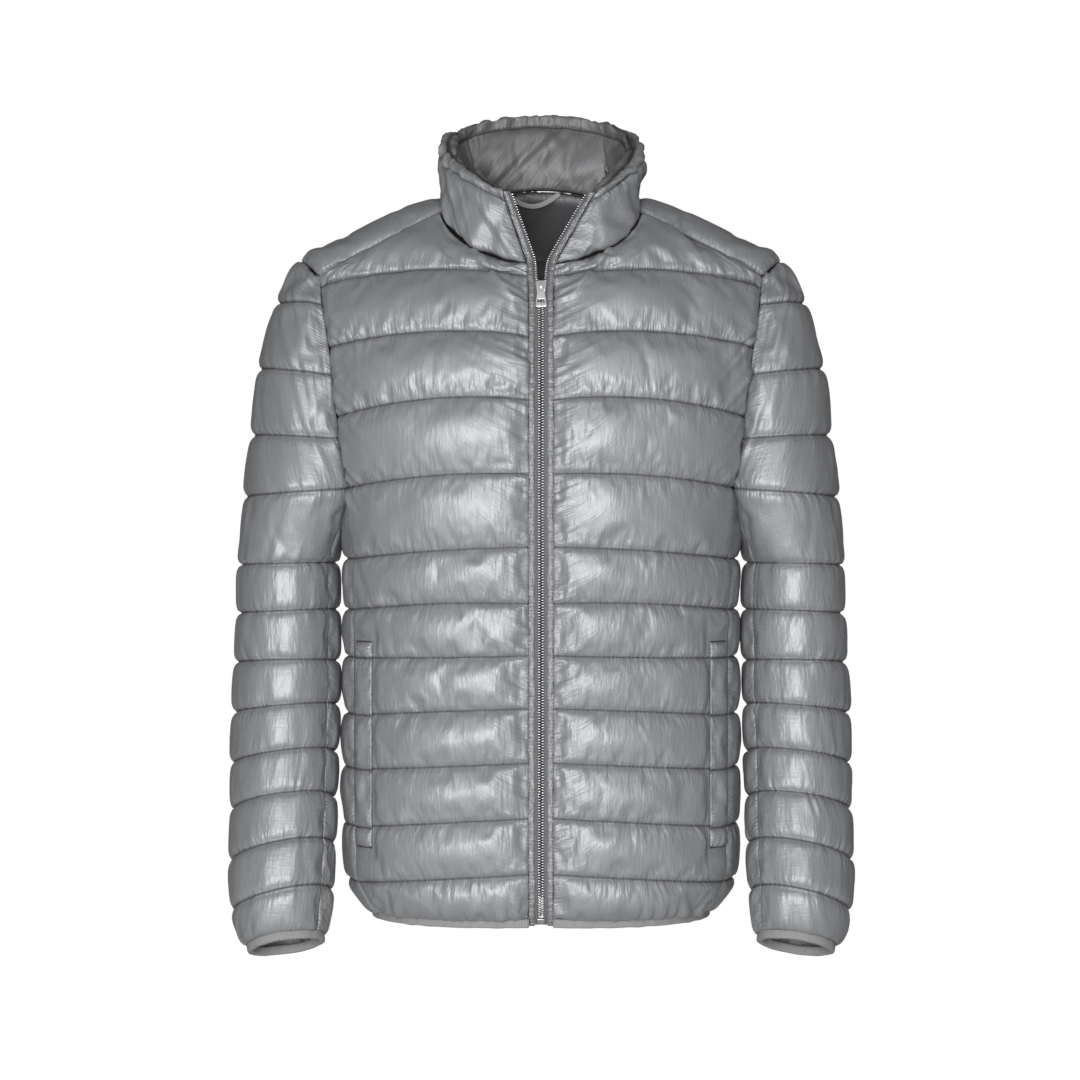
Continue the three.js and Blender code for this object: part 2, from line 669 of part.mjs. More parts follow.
function buildFronts() {
  const rows = rowsBetween(0, FRONT_BLOCKS);
  const us = innerColumns(FRONT_COLUMNS, 0.035, 0.045);
  const hem = shares(HEM_STEPS).map((u) => bodyEdge(frontPoint(u, FRONT_BLOCKS)));
  hem[HEM_STEPS] = sideSeamFront[sideSeamFront.length - 1];
  const zip = rows.map((v) => bodyEdge(frontPoint(0, v)));
  zip[0] = neckFront[0];
  hem[0] = zip[zip.length - 1];
  const raise = (u, v) => {
    const k = Math.floor(v);
    const height = frontLine(k, u).z - frontLine(Math.min(k + 1, FRONT_BLOCKS), u).z;
    const point = between(frontLine, v, u);
    const alongWelt = point.z < WELT.top + WELT.flat && point.z > WELT.bottom - WELT.flat;
    const flat = alongWelt && u > 0.86 ? 0 : 1;
    return rowRaise(v) * flat * (Math.min(PUFF, height * 0.3) + gather(u, v, FRONT_BLOCKS, FRONT_COLUMNS));
  };
  const geometry = quiltedPiece({
    at: frontPoint,
    core: (u, v) => bodyCore(frontPoint(u, v)),
    us,
    vs: withoutEnds(rows),
    plainVs: linesOnly(0, FRONT_BLOCKS),
    raise,
    edges: [
      [...neckFront, ...yokeFrontSeam.slice(1)],
      [...armholeFront, ...sideSeamFront.slice(1)],
      hem,
      zip,
    ],
  });
  addPair("front", geometry, NYLON);
}

function flipX({ p, n }) {
  return { p: vec(-p.x, p.y, p.z), n: vec(-n.x, n.y, n.z) };
}

const neckBackXs = [0, 18, 36, 54, 70, NECK_BACK_X];
const neckBackHalf = neckBackXs.map((x) => bodyEdge(backTopPoint(-x)));
neckBackHalf[neckBackHalf.length - 1] = yokeBackSeam[0];

function buildBack() {
  const rows = rowsBetween(0, BACK_BLOCKS);
  const halfTop = [...neckBackHalf, ...yokeBackSeam.slice(1)];
  const top = [...[...halfTop].reverse(), ...halfTop.slice(1).map(flipX)];
  const side = [...armholeBack, ...sideSeamBack.slice(1)];
  const hem = shares(2 * HEM_STEPS).map((u) => bodyEdge(backPoint(u, BACK_BLOCKS)));
  hem[0] = side[side.length - 1];
  hem[hem.length - 1] = flipX(side[side.length - 1]);
  const raise = (u, v) => {
    const k = Math.floor(v);
    const height = backLine(k, u).z - backLine(Math.min(k + 1, BACK_BLOCKS), u).z;
    return rowRaise(v) * (Math.min(PUFF, height * 0.3) + gather(u, v, BACK_BLOCKS, BACK_COLUMNS));
  };
  const geometry = quiltedPiece({
    at: backPoint,
    core: (u, v) => bodyCore(backPoint(u, v)),
    us: innerColumns(BACK_COLUMNS, 0.022, 0.022),
    vs: withoutEnds(rows),
    plainVs: linesOnly(0, BACK_BLOCKS),
    raise,
    edges: [top, side.map(flipX), hem, side],
  });
  addPiece("back", geometry, NYLON);
}

const FIRST_BLOCK_SHARE = 0.25; // of the usual puff, where sleeve and body part under the arm

function buildSides() {
  const hem = shares(6).map((u) => bodyEdge(sidePoint(u, FRONT_BLOCKS)));
  hem[0] = sideSeamFront[sideSeamFront.length - 1];
  hem[hem.length - 1] = sideSeamBack[sideSeamBack.length - 1];
  const raise = (u, v) => {
    const squeezed = v < UNDERARM_LINE + 1 ? FIRST_BLOCK_SHARE : 1;
    return rowRaise(v) * (SIDE_PUFF * squeezed + gather(u, v, FRONT_BLOCKS, SIDE_COLUMNS));
  };
  const geometry = quiltedPiece({
    at: sidePoint,
    core: (u, v) => bodyCore(sidePoint(u, v)),
    us: innerColumns(SIDE_COLUMNS, 0.08, 0.08),
    vs: withoutEnds(sideSeamRows),
    plainVs: linesOnly(UNDERARM_LINE, FRONT_BLOCKS),
    raise,
    edges: [armholeUnder, sideSeamBack, hem, sideSeamFront],
  });
  addPair("side", geometry, NYLON);
}

function buildYokes() {
  const raise = (u) => {
    const x = lerp(NECK_FRONT_X, SHOULDER_TIP_X, u);
    return YOKE_STITCHES.some((line) => Math.abs(line - x) < 1) ? 0 : YOKE_PUFF;
  };
  const geometry = quiltedPiece({
    at: yokePoint,
    core: (u, v) => bodyCore(yokePoint(u, v)),
    us: [0.06, 0.18, yokeShares[2], 0.46, 0.67, yokeShares[4], 0.88, 0.95],
    vs: [-0.6, -0.2, 0.2, 0.6],
    plainVs: [-0.6, -0.2, 0.2, 0.6],
    raise,
    edges: [yokeFrontSeam, armholeTop, yokeBackSeam, neckYoke],
  });
  addPair("yoke", geometry, NYLON);
}

const sleeveSeamRows = rowsBetween(CAP_LINES, SLEEVE_BLOCKS);
const sleeveSeamFront = sleeveSeamRows.map((v) => sleeveEdge(sleevePoint, 0, v));
const sleeveSeamBack = sleeveSeamRows.map((v) => sleeveEdge(sleevePoint, 1, v));
sleeveSeamFront[0] = armholeFront[armholeFront.length - 1];
sleeveSeamBack[0] = armholeBack[armholeBack.length - 1];

const CUFF_TURNS = 14;
const CUFF_UNDER_TURNS = 6;
const cuffOuter = shares(CUFF_TURNS).map((u) => sleeveEdge(sleevePoint, u, SLEEVE_BLOCKS));
const cuffUnder = shares(CUFF_UNDER_TURNS).map((u) => sleeveEdge(underPoint, u, SLEEVE_BLOCKS));
cuffUnder[0] = sleeveSeamFront[sleeveSeamFront.length - 1];
cuffUnder[CUFF_UNDER_TURNS] = sleeveSeamBack[sleeveSeamBack.length - 1];
cuffOuter[0] = cuffUnder[0];
cuffOuter[CUFF_TURNS] = cuffUnder[CUFF_UNDER_TURNS];

const CAP_TOP_SHARE = 0.6; // of the usual puff, at the head of the sleeve
const CORNER_SHARE = 0.4; // and where four pieces meet at the underarm

function buildSleeves() {
  const rows = rowsBetween(0, SLEEVE_BLOCKS);
  const raise = (u, v) => {
    const lastBlock = gather(u, v, SLEEVE_BLOCKS, SLEEVE_COLUMNS);
    const nearCorner = Math.abs(v - CAP_LINES) < 0.5 && Math.abs(u - 0.5) > 0.42;
    const share = nearCorner ? CORNER_SHARE : v < 1 ? CAP_TOP_SHARE : 1;
    return rowRaise(v) * (PUFF * share + lastBlock);
  };
  const geometry = quiltedPiece({
    at: sleevePoint,
    core: (u, v) => sleeveCore(v),
    us: innerColumns(SLEEVE_COLUMNS, 0.035, 0.035),
    vs: withoutEnds(rows),
    plainVs: linesOnly(0, SLEEVE_BLOCKS),
    raise,
    edges: [
      armholeTop,
      [...armholeBack, ...sleeveSeamBack.slice(1)],
      cuffOuter,
      [...armholeFront, ...sleeveSeamFront.slice(1)],
    ],
  });
  addPair("sleeve", geometry, NYLON);
}

function buildUnderSleeves() {
  const raise = (u, v) => {
    const squeezed = v < CAP_LINES + 1 ? FIRST_BLOCK_SHARE : 1;
    return rowRaise(v) * SIDE_PUFF * squeezed;
  };
  const geometry = quiltedPiece({
    at: underPoint,
    core: (u, v) => sleeveCore(v),
    us: innerColumns(UNDER_COLUMNS, 0.08, 0.08),
    vs: withoutEnds(sleeveSeamRows),
    plainVs: linesOnly(CAP_LINES, SLEEVE_BLOCKS),
    raise,
    edges: [armholeUnder, sleeveSeamBack, cuffUnder, sleeveSeamFront],
  });
  addPair("undersleeve", geometry, NYLON);
}

// The binding of a cuff: a narrow ring that carries on past the sleeve's end.
function buildCuffBindings() {
  const end = sleeveRows[SLEEVE_BLOCKS];
  const down = end.deep.clone().cross(end.across).normalize();
  if (down.z > 0) down.negate();
  const ring = [...cuffOuter, ...[...cuffUnder].reverse().slice(1, -1)];
  const outlines = ring.map(({ p, n }) => {
    const flat = n.clone().addScaledVector(down, -n.dot(down)).normalize();
    const start = p.clone().addScaledVector(down, SEAM_GAP / 2);
    return bar(start, down, 0, BINDING_HEIGHT, flat, -BINDING_THICK + 1, 1);
  });
  addPair("cuff_binding", loft(outlines, true), BINDING);
}

// The binding of the hem, from one side of the zip round the back to the other.
function buildHemBinding() {
  const place = (p) => {
    const n = bodyNormal(p).setZ(0).normalize();
    return bar(p.clone().setZ(p.z - SEAM_GAP), vec(0, 0, -1), 0, BINDING_HEIGHT, n, -BINDING_THICK + 1, 1);
  };
  const front = shares(HEM_STEPS).map((u) => frontPoint(u, FRONT_BLOCKS));
  const side = shares(6).map((u) => sidePoint(u, FRONT_BLOCKS));
  const back = shares(2 * HEM_STEPS).map((u) => backPoint(u, BACK_BLOCKS));
  const half = [...front, ...side.slice(1, -1)];
  const otherHalf = [...half].reverse().map((p) => vec(-p.x, p.y, p.z));
  addPiece("hem_binding", loft([...half, ...back, ...otherHalf].map(place)), BINDING);
}

// The collar stands on the neck seam and leans a little towards the head.
const neckHalf = [...neckFront, ...neckYoke.slice(1, -1), ...[...neckBackHalf].reverse()].map(({ p }) => p);
const neckRing = [...neckHalf, ...[...neckHalf].reverse().slice(1).map((p) => vec(-p.x, p.y, p.z))];
const rimCurve = new THREE.CatmullRomCurve3(
  RIM.map((row) => vec(row.x, row.y, row.z)),
  false,
  "centripetal",
);

function ringShares(points) {
  const lengths = [0];
  for (let i = 1; i < points.length; i++) {
    lengths.push(lengths[i - 1] + points[i].distanceTo(points[i - 1]));
  }
  return lengths.map((length) => length / lengths[lengths.length - 1]);
}

const neckShares = ringShares(neckRing);

function neckPoint(u) {
  const share = clamp(u, 0, 1);
  let i = 1;
  while (i < neckShares.length - 1 && neckShares[i] < share) i++;
  const part = (share - neckShares[i - 1]) / (neckShares[i] - neckShares[i - 1]);
  return neckRing[i - 1].clone().lerp(neckRing[i], part);
}

// Level direction out of the collar at the share u round it.
function collarOut(u) {
  const a = rimCurve.getPointAt(clamp(u - 0.02, 0, 1)).add(neckPoint(u - 0.02));
  const b = rimCurve.getPointAt(clamp(u + 0.02, 0, 1)).add(neckPoint(u + 0.02));
  const along = b.sub(a).setZ(0).normalize();
  return vec(-along.y, along.x, 0);
}

function collarPoint(u, down, inward) {
  const rim = rimCurve.getPointAt(clamp(u, 0, 1));
  return rim.lerp(neckPoint(u), down).addScaledVector(collarOut(u), -inward);
}

const collarRaise = smoothColumn(COLLAR_PROFILE, "down", "raised");

function buildCollar() {
  const downs = COLLAR_PROFILE.map((row) => row.down);
  const us = shares(26).map((share) => lerp(0.015, 0.985, share));
  const layer = (inward, facing) => {
    const at = (u, v) => collarPoint(u, v, inward);
    const edge = (u, v) => ({ p: at(u, v), n: collarOut(u).multiplyScalar(facing) });
    const sideRows = [0, ...downs, 1];
    const lift = (row) => ({ p: row.p.clone().setZ(row.p.z + SEAM_GAP), n: row.n });
    return quiltedPiece({
      at,
      core: (u, v) => collarPoint(u, v, inward).addScaledVector(collarOut(u), -20 * facing),
      us,
      vs: downs,
      plainVs: [0.2, 0.8],
      raise: (u, v) => collarRaise(v),
      edges: [
        neckShares.map((u) => edge(u, 0)),
        sideRows.map((v) => (v === 1 ? lift(edge(1, v)) : edge(1, v))),
        neckShares.map((u) => lift(edge(u, 1))),
        sideRows.map((v) => (v === 1 ? lift(edge(0, v)) : edge(0, v))),
      ],
      thick: COLLAR_LAYER,
    });
  };
  addPiece("collar_outer", layer(0, 1), NYLON);
  addPiece("collar_inner", layer(COLLAR_THICK, -1), LINING);
}

// The way that each half of the open and closed zip runs: a point on the edge of its front or
// collar, the direction from there into the opening, and the direction outward.
const CLOSED_ZS = [TAPE_BOTTOM_Z, ...FRONT_LINES.slice(1, -1).map((line) => line.zip).reverse(), -120];
const OPEN_ZS = [SLIDER_Z - SLIDER.length / 2 + SEAM_GAP, SLIDER_Z, -87, -78];
const COLLAR_DOWNS = [0.99, 0.75, 0.5, 0.25, 0.03];

function zipOnBody(z, side) {
  const p = bodyPoint(side * zipEdgeX(z), z, FRONT);
  const n = bodyNormal(p).setX(0).normalize();
  return { p: p.addScaledVector(n, -CHAIN_DEEP), across: vec(-side, 0, 0), n };
}

function zipOnCollar(down, side) {
  const end = side < 0 ? 0 : 1;
  const n = collarOut(end);
  const across = vec(-n.y, n.x, 0).multiplyScalar(-side);
  if (across.x * side > 0) across.negate();
  return { p: collarPoint(end, down, COLLAR_THICK / 2), across, n };
}

function zipStrip(spots, from, to, thick) {
  return loft(spots.map(({ p, across, n }) => bar(p, across, from, to, n, -thick / 2, thick / 2)));
}

function buildZip() {
  const toTeeth = TAPE_WIDTH + SEAM_GAP;
  for (const [name, side] of [["left", -1], ["right", 1]]) {
    const open = [
      ...OPEN_ZS.map((z) => zipOnBody(z, side)),
      ...COLLAR_DOWNS.map((down) => zipOnCollar(down, side)),
    ];
    const whole = [...CLOSED_ZS.map((z) => zipOnBody(z, side)), ...open];
    addPiece(`zip_tape_${name}`, zipStrip(whole, TAPE_GAP, TAPE_WIDTH, TAPE_THICK), TAPE);
    const teeth = zipStrip(open, toTeeth, toTeeth + TEETH_WIDTH, CHAIN_THICK);
    addPiece(`zip_teeth_${name}`, teeth, TEETH);
  }
  const chainTop = SLIDER_Z - SLIDER.length / 2;
  const chainZs = [CHAIN_BOTTOM_Z, ...CLOSED_ZS.slice(1), chainTop];
  const middle = chainZs.map((z) => {
    const spot = zipOnBody(z, -1);
    return { ...spot, p: spot.p.setX(0) };
  });
  const half = CHAIN_WIDTH / 2;
  addPiece("zip_chain", zipStrip(middle, -half, half, CHAIN_THICK), TEETH);
  const boxZs = [CHAIN_BOTTOM_Z - SEAM_GAP, CHAIN_BOTTOM_Z - SEAM_GAP - BOX.height];
  const ends = boxZs.map((z) => {
    const spot = zipOnBody(z, -1);
    return { ...spot, p: spot.p.setX(0) };
  });
  addPiece("zip_box", zipStrip(ends, -BOX.width / 2, BOX.width / 2, BOX.thick), STEEL);
}

// The slider's frame: x to the right, y out from the zip, z down along it.
function sliderFrame() {
  const { p, n } = zipOnBody(SLIDER_Z, 1);
  const x = vec(1, 0, 0);
  return new THREE.Matrix4().makeBasis(x, n, x.clone().cross(n)).setPosition(p.setX(0));
}

function rectangle(halfWidth, from, to, corner = 0) {
  const path = new THREE.Path();
  path.moveTo(-halfWidth + corner, from);
  path.lineTo(halfWidth - corner, from);
  if (corner) path.absarc(halfWidth - corner, from + corner, corner, -Math.PI / 2, 0);
  path.lineTo(halfWidth, to - corner);
  if (corner) path.absarc(halfWidth - corner, to - corner, corner, 0, Math.PI / 2);
  path.lineTo(-halfWidth + corner, to);
  if (corner) path.absarc(-halfWidth + corner, to - corner, corner, Math.PI / 2, Math.PI);
  path.lineTo(-halfWidth, from + corner);
  if (corner) path.absarc(-halfWidth + corner, from + corner, corner, Math.PI, 1.5 * Math.PI);
  path.closePath();
  return path;
}

const SLIDER_FACE = CHAIN_THICK / 2 + SLIDER.gap; // from the middle of the chain to each plate
const HINGE_OUT = SLIDER_FACE + SLIDER.plate + SEAM_GAP + ARCH.leg;

function buildSlider() {
  const frame = sliderFrame();
  const front = SLIDER_FACE + SLIDER.plate;
  const [a, b, c] = [SLIDER.front / 2, SLIDER.post / 2, SLIDER.back / 2];
  const half = [
    [a, front],
    [a, SLIDER_FACE],
    [b, SLIDER_FACE],
    [b, -SLIDER_FACE],
    [c, -SLIDER_FACE],
    [c, -front],
  ];
  const outline = [...half, ...[...half].reverse().map(([x, y]) => [-x, y])];
  const plates = new THREE.Shape(outline.map(([x, y]) => new THREE.Vector2(x, y)));
  const body = new THREE.ExtrudeGeometry(plates, { depth: SLIDER.length, bevelEnabled: false });
  body.translate(0, 0, -SLIDER.length / 2).applyMatrix4(frame);
  addPiece("zip_slider", body, STEEL);

  const foot = front + SEAM_GAP;
  const arch = new THREE.Shape();
  arch.moveTo(ARCH.outer, foot);
  arch.lineTo(ARCH.outer, HINGE_OUT);
  arch.absarc(0, HINGE_OUT, ARCH.outer, 0, Math.PI);
  arch.lineTo(-ARCH.outer, foot);
  arch.lineTo(-ARCH.inner, foot);
  arch.lineTo(-ARCH.inner, HINGE_OUT);
  arch.absarc(0, HINGE_OUT, ARCH.inner, Math.PI, 0, true);
  arch.lineTo(ARCH.inner, foot);
  const settings = { depth: ARCH.width, bevelEnabled: false, curveSegments: 8 };
  const bridge = new THREE.ExtrudeGeometry(arch, settings);
  bridge.translate(0, 0, -ARCH.width / 2).rotateY(-Math.PI / 2).translate(0, 0, ARCH.down);
  addPiece("zip_bridge", bridge.applyMatrix4(frame), STEEL);
}

// The pull: a plate whose eye goes round the bridge; its top bar is the hinge.
function buildPull() {
  const bar = PULL_EYE.from;
  const { top, bottom, length, corner } = PULL;
  const outline = new THREE.Shape();
  outline.moveTo(-top, -bar);
  outline.lineTo(top, -bar);
  outline.lineTo(bottom, length - corner);
  outline.quadraticCurveTo(bottom, length, bottom - corner, length);
  outline.lineTo(corner - bottom, length);
  outline.quadraticCurveTo(-bottom, length, -bottom, length - corner);
  outline.closePath();
  outline.holes.push(rectangle(PULL_EYE.half, PULL_EYE.from, PULL_EYE.to));
  outline.holes.push(rectangle(PULL_WINDOW.half, PULL_WINDOW.from, PULL_WINDOW.to, 0.8));
  const settings = { depth: PULL.thick, bevelEnabled: false, curveSegments: 3 };
  const plate = new THREE.ExtrudeGeometry(outline, settings);
  plate.translate(0, 0, -PULL.thick / 2).rotateX(Math.PI / 2 + degToRad(PULL.lean));
  plate.translate(0, HINGE_OUT, ARCH.down).applyMatrix4(sliderFrame());
  addPiece("zip_pull", plate, STEEL);
}

// The welt of a hand pocket: a stuffed strip sewn on along the side seam.
function buildWelts() {
  const places = shares(9).map((share) => lerp(WELT.top, WELT.bottom, share));
  const xs = [WELT.inner, (WELT.inner + WELT.outer) / 2, WELT.outer];
  const outlines = places.map((z, i) => {
    const atEnd = i === 0 || i === places.length - 1;
    const heights = atEnd ? [1, 1, 1] : [WELT.edge, WELT.thick, WELT.edge];
    const raised = (x, height) => {
      const p = bodyPoint(-x, z, FRONT);
      return p.addScaledVector(bodyNormal(p), height);
    };
    const under = xs.map((x) => raised(x, WELT.gap));
    const over = xs.map((x, c) => raised(x, WELT.gap + heights[c])).reverse();
    return [...under, ...over];
  });
  addPair("pocket_welt", loft(outlines), NYLON);
}

// The hanger loop: its ends go up under the inner collar at the back of the neck.
function buildLoop() {
  const spots = shares(12).map((share) => {
    const x = lerp(LOOP.left, LOOP.right, share);
    const neck = backTopPoint(x);
    const hang = Math.sin(Math.PI * share);
    const y = neck.y - COLLAR_THICK + COLLAR_LAYER / 2 - LOOP.forward * hang;
    const z = neck.z - LOOP.width / 2 + SEAM_GAP / 2 - LOOP.sag * hang;
    return bar(vec(x, y, z), vec(0, 0, 1), -LOOP.width / 2, LOOP.width / 2, vec(0, -1, 0), 0, LOOP.thick);
  });
  addPiece("hanger_loop", loft(spots), TAPE);
}

buildFronts();
buildBack();
buildSides();
buildYokes();
buildSleeves();
buildUnderSleeves();
buildCuffBindings();
buildHemBinding();
buildCollar();
buildZip();
buildSlider();
buildPull();
buildWelts();
buildLoop();

export default jacket;
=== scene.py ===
import math

import bmesh
import bpy
import numpy as np
from mathutils import Matrix, Vector


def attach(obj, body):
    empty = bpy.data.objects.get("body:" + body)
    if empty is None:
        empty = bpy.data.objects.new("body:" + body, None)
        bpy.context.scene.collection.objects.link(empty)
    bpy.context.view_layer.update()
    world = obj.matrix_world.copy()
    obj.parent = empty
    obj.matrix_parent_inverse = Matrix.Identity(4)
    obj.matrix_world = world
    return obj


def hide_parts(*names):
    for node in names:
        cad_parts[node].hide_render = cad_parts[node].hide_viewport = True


# A light down jacket with a stand collar, as it hangs filled out with nobody in it.
# The front faces -Y and -X is the left side of the front view. Measures are in millimetres
# up to the point where a mesh is made, and MM turns them into metres there.
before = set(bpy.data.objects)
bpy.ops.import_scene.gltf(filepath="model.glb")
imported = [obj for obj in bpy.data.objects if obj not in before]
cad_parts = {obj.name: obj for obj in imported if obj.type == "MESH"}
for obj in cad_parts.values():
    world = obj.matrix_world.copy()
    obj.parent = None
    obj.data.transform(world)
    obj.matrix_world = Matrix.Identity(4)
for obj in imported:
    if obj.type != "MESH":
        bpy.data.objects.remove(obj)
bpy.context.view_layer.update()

MM = 0.001
MIRROR = np.array([-1, 1, 1])

# The view: level with the middle of the jacket, and as wide as it at the shoulders
CAMERA_PLACE = (-0.001, -3.2, -0.34)
VIEW_WIDTH = 1.08
SENSOR_WIDTH = 36

camera_data = bpy.data.cameras.new("camera")
camera_data.sensor_fit = "HORIZONTAL"
camera_data.sensor_width = SENSOR_WIDTH
camera_data.lens = SENSOR_WIDTH * -CAMERA_PLACE[1] / VIEW_WIDTH
camera = bpy.data.objects.new("camera", camera_data)
camera.location = CAMERA_PLACE
camera.rotation_euler = (math.pi / 2, 0, 0)
bpy.context.scene.collection.objects.link(camera)
bpy.context.scene.camera = camera

# Fineness of the cloth: the mesh that is simulated is halved once more afterwards. It is
# finer across than down, because the puckers stand upright on the lines of stitches.
ACROSS_STEP = 3.4
DOWN_STEP = 6.2
FRONT_DOWN_STEP = 4.4  # the fronts have finer folds
INNER_STEPS = 2  # a mesh step of the inside is this many steps of the simulated cloth

# Quilting
SEAM_GAP = 0.3  # between two pieces of the cloth
WALL = 3.0  # thickness of the cloth at a line of stitches
PUFF = 6.2  # height of a baffle over its lines of stitches
SIDE_PUFF = 4.2
YOKE_PUFF = 3.6
COLLAR_PUFF = 5.5
LIFT = 2.8  # the lines of stitches stand this much further out than the solids' ones
PUFF_SKEW = 0.85  # under 1, the fill of a baffle has sunk a little
SEAM_ROUND = 15.0  # a baffle rises to its full height this far from the seams
ZIP_ROUND = 15.0  # and this far from the zip
SLEEVE_FULLNESS = [0.6, 0.65, 0.7, 0.7, 0.65, 0.65, 0.65, 0.65, 0.65, 0.65, 0.7, 0.75, 0.85]
CLOTH_CAP = 5.0  # the simulation may move a point this far
CLOTH_FRAMES = 16
SEAM_SHADE = 2.1  # painted shade: the cloth's colour is darkened up to this far from a line of stitches

# Body, at the stitch lines: half width, and depth in front of and behind the origin
BODY = [
    dict(z=-713, half=158, front=116, back=108),
    dict(z=-694, half=176, front=127, back=117),
    dict(z=-668, half=189, front=133, back=121),
    dict(z=-600, half=191, front=136, back=121),
    dict(z=-480, half=190, front=134, back=117),
    dict(z=-380, half=190, front=137, back=117),
    dict(z=-290, half=200, front=141, back=121),
    dict(z=-230, half=214, front=142, back=123),
    dict(z=-154, half=232, front=142, back=123),
    dict(z=-61, half=256, front=142, back=123),
    dict(z=40, half=268, front=142, back=123),
]
BODY_ROUND = 2.5

SHOULDER_X = 100
SHOULDER_SLOPE = 0.436
SHOULDER_TIP_X = 219
SHOULDER_TIP_OUT = 21
YOKE_DROP = dict(neck=15, tip=27)
YOKE_STITCHES = [140, 195]

NECK_FRONT_Z = -72
NECK_FRONT_ROUND = 1.85
NECK_FRONT_X = 98
NECK_BACK_Z = 14
NECK_BACK_X = 86

# Quilt lines of a front: height at the zip, halfway and at the outer edge, with that edge's x
FRONT_LINES = [
    dict(zip=-84, middle=-78, edge=-91, x=218),
    dict(zip=-144, middle=-140, edge=-152, x=207.5),
    dict(zip=-206, middle=-205, edge=-220, x=199.5),
    dict(zip=-277, middle=-278, edge=-289, x=188),
    dict(zip=-347, middle=-350, edge=-358, x=181.5),
    dict(zip=-401, middle=-401, edge=-408, x=181),
    dict(zip=-451, middle=-453, edge=-455, x=181),
    dict(zip=-502, middle=-505, edge=-511, x=181),
    dict(zip=-554, middle=-558, edge=-564, x=180.5),
    dict(zip=-607, middle=-612, edge=-620, x=180),
    dict(zip=-661, middle=-666, edge=-674, x=177),
    dict(zip=-706, middle=-707, edge=-706, x=152),
]
UNDERARM_LINE = 4
BACK_TOP_LINES = [
    dict(middle=-52, edge=-97, x=217),
    dict(middle=-112, edge=-138, x=210.5),
    dict(middle=-173, edge=-186, x=204),
    dict(middle=-234, edge=-237, x=196.5),
    dict(middle=-291, edge=-289, x=188),
]
BACK_ARCH = 4
UNDERARM_DIP = 10

# Sleeve cap: where each quilt line meets the armhole, its outermost point and its turn
CAP = [
    dict(armhole=-108, out=259, top=-105, turn=95),
    dict(armhole=-179, out=277, top=-170, turn=105),
    dict(armhole=-241, out=284, top=-236, turn=116),
    dict(armhole=-289, out=291, top=-297, turn=132),
]
CAP_TOP_TURN = 82

# Sleeve below the underarm: centre, half sizes, heights of the outer and inner ends of a
# line of stitches, and how much higher its front is than its middle
TUBE = [
    dict(x=252, y=0, across=44, deep=66, outer=-365, inner=-362, rise=1),
    dict(x=252, y=-2, across=45, deep=64, outer=-413, inner=-409, rise=2),
    dict(x=253, y=-5, across=46, deep=62, outer=-462, inner=-460, rise=4),
    dict(x=254, y=-10, across=47, deep=59, outer=-512, inner=-503, rise=6),
    dict(x=255, y=-18, across=46.5, deep=56, outer=-562, inner=-549, rise=10),
    dict(x=255, y=-28, across=46, deep=53, outer=-607, inner=-593, rise=13),
    dict(x=255, y=-42, across=46, deep=51, outer=-657, inner=-638, rise=15),
    dict(x=254, y=-58, across=44, deep=47, outer=-703, inner=-682, rise=15),
    dict(x=250, y=-67, across=35, deep=35, outer=-737, inner=-726, rise=11),
]
SEAM_TURN = dict(front=150, back=125)

# Collar: its rim, from the left front corner round the back to the right one
RIM = [
    (-40, -85, 2), (-70, -64, 22), (-98, -18, 50), (-80, 37, 78), (0, 62, 91),
    (80, 37, 78), (98, -18, 50), (80, -60, 22), (56, -78, 2),
]
COLLAR_THICK = 11.3
COLLAR_LAYER = 4.4
COLLAR_STITCH = 0.16  # share of the collar's height from the rim to its line of stitches
COLLAR_ROLL = 9.0  # the rim is rounded off over this height

# Zip
TAPE_EDGE = 11.7  # from the middle of the zip to the edge of a front
NECK_OPEN = 14  # the same at the top, where the zip is open
CHAIN_DEEP = 1.4
CHAIN_BOTTOM_Z = -704
TAPE_BOTTOM_Z = -712
SLIDER_Z = -95
SLIDER = dict(front=10.6, back=10, plate=1.6, post=2.6)
ARCH = dict(width=2.4, inner=1.4, outer=2.6, down=1.5, leg=0.8)
SLIDER_FACE = 1.5  # from the middle of the teeth to the inside of a plate
HINGE_OUT = SLIDER_FACE + SLIDER["plate"] + SEAM_GAP + ARCH["leg"]
PULL = dict(thick=1.4, lean=2.5)
TOOTH_PITCH = 2.6
ZIP_STEPS = dict(closed=460, opened=16, collar=62)
ZIP_BEND = dict(first=450, last=490, rounds=24)  # the path is smoothed between these places

# The pull's rows: how far down from the hinge, half width, and half width of the opening there
PULL_ROWS = [
    dict(down=-0.7, half=2.3, hole=1.5),
    dict(down=0.7, half=2.5, hole=1.5),
    dict(down=3.2, half=2.5, hole=1.5),
    dict(down=6.4, half=3.8, hole=2.4),
    dict(down=13.4, half=4.8, hole=3.3),
    dict(down=17.3, half=5.2, hole=3.5),
    dict(down=20.6, half=5.45, hole=3.5),
    dict(down=22, half=4.7, hole=3.4),
]
PULL_OPEN_ROWS = (1, 4)

BINDING_HEIGHT = 7
BINDING_THICK = 4.4
WELT = dict(top=-438, bottom=-640, inner=161.5, outer=177.5, gap=0.6, puff=4.6)
LOOP = dict(left=-34, right=19, sag=14, width=5, thick=1.2, forward=4)
STITCH_PITCH = 3.3
STITCH = dict(length=2.3, thick=0.65, sunk=0.9)

# Flat cuts: how much longer the quilted cloth is than its seams, and the narrow pieces' sizes
CUT_FULLNESS = 1.06
ZIP_CUT = 10
FACING_WIDE = 9
BINDING_CUT = 13
CUFF_RUN = 2 * math.pi * 36
HEM_RUN = 880
LOOP_CUT = dict(width=10, run=62, area=440)


def lerp(a, b, t):
    return a + (b - a) * t


def unit(v):
    return v / np.maximum(np.linalg.norm(v, axis=-1, keepdims=True), 1e-9)


def point(x, y, z):
    return np.stack(np.broadcast_arrays(x, y, z), -1).astype(float)


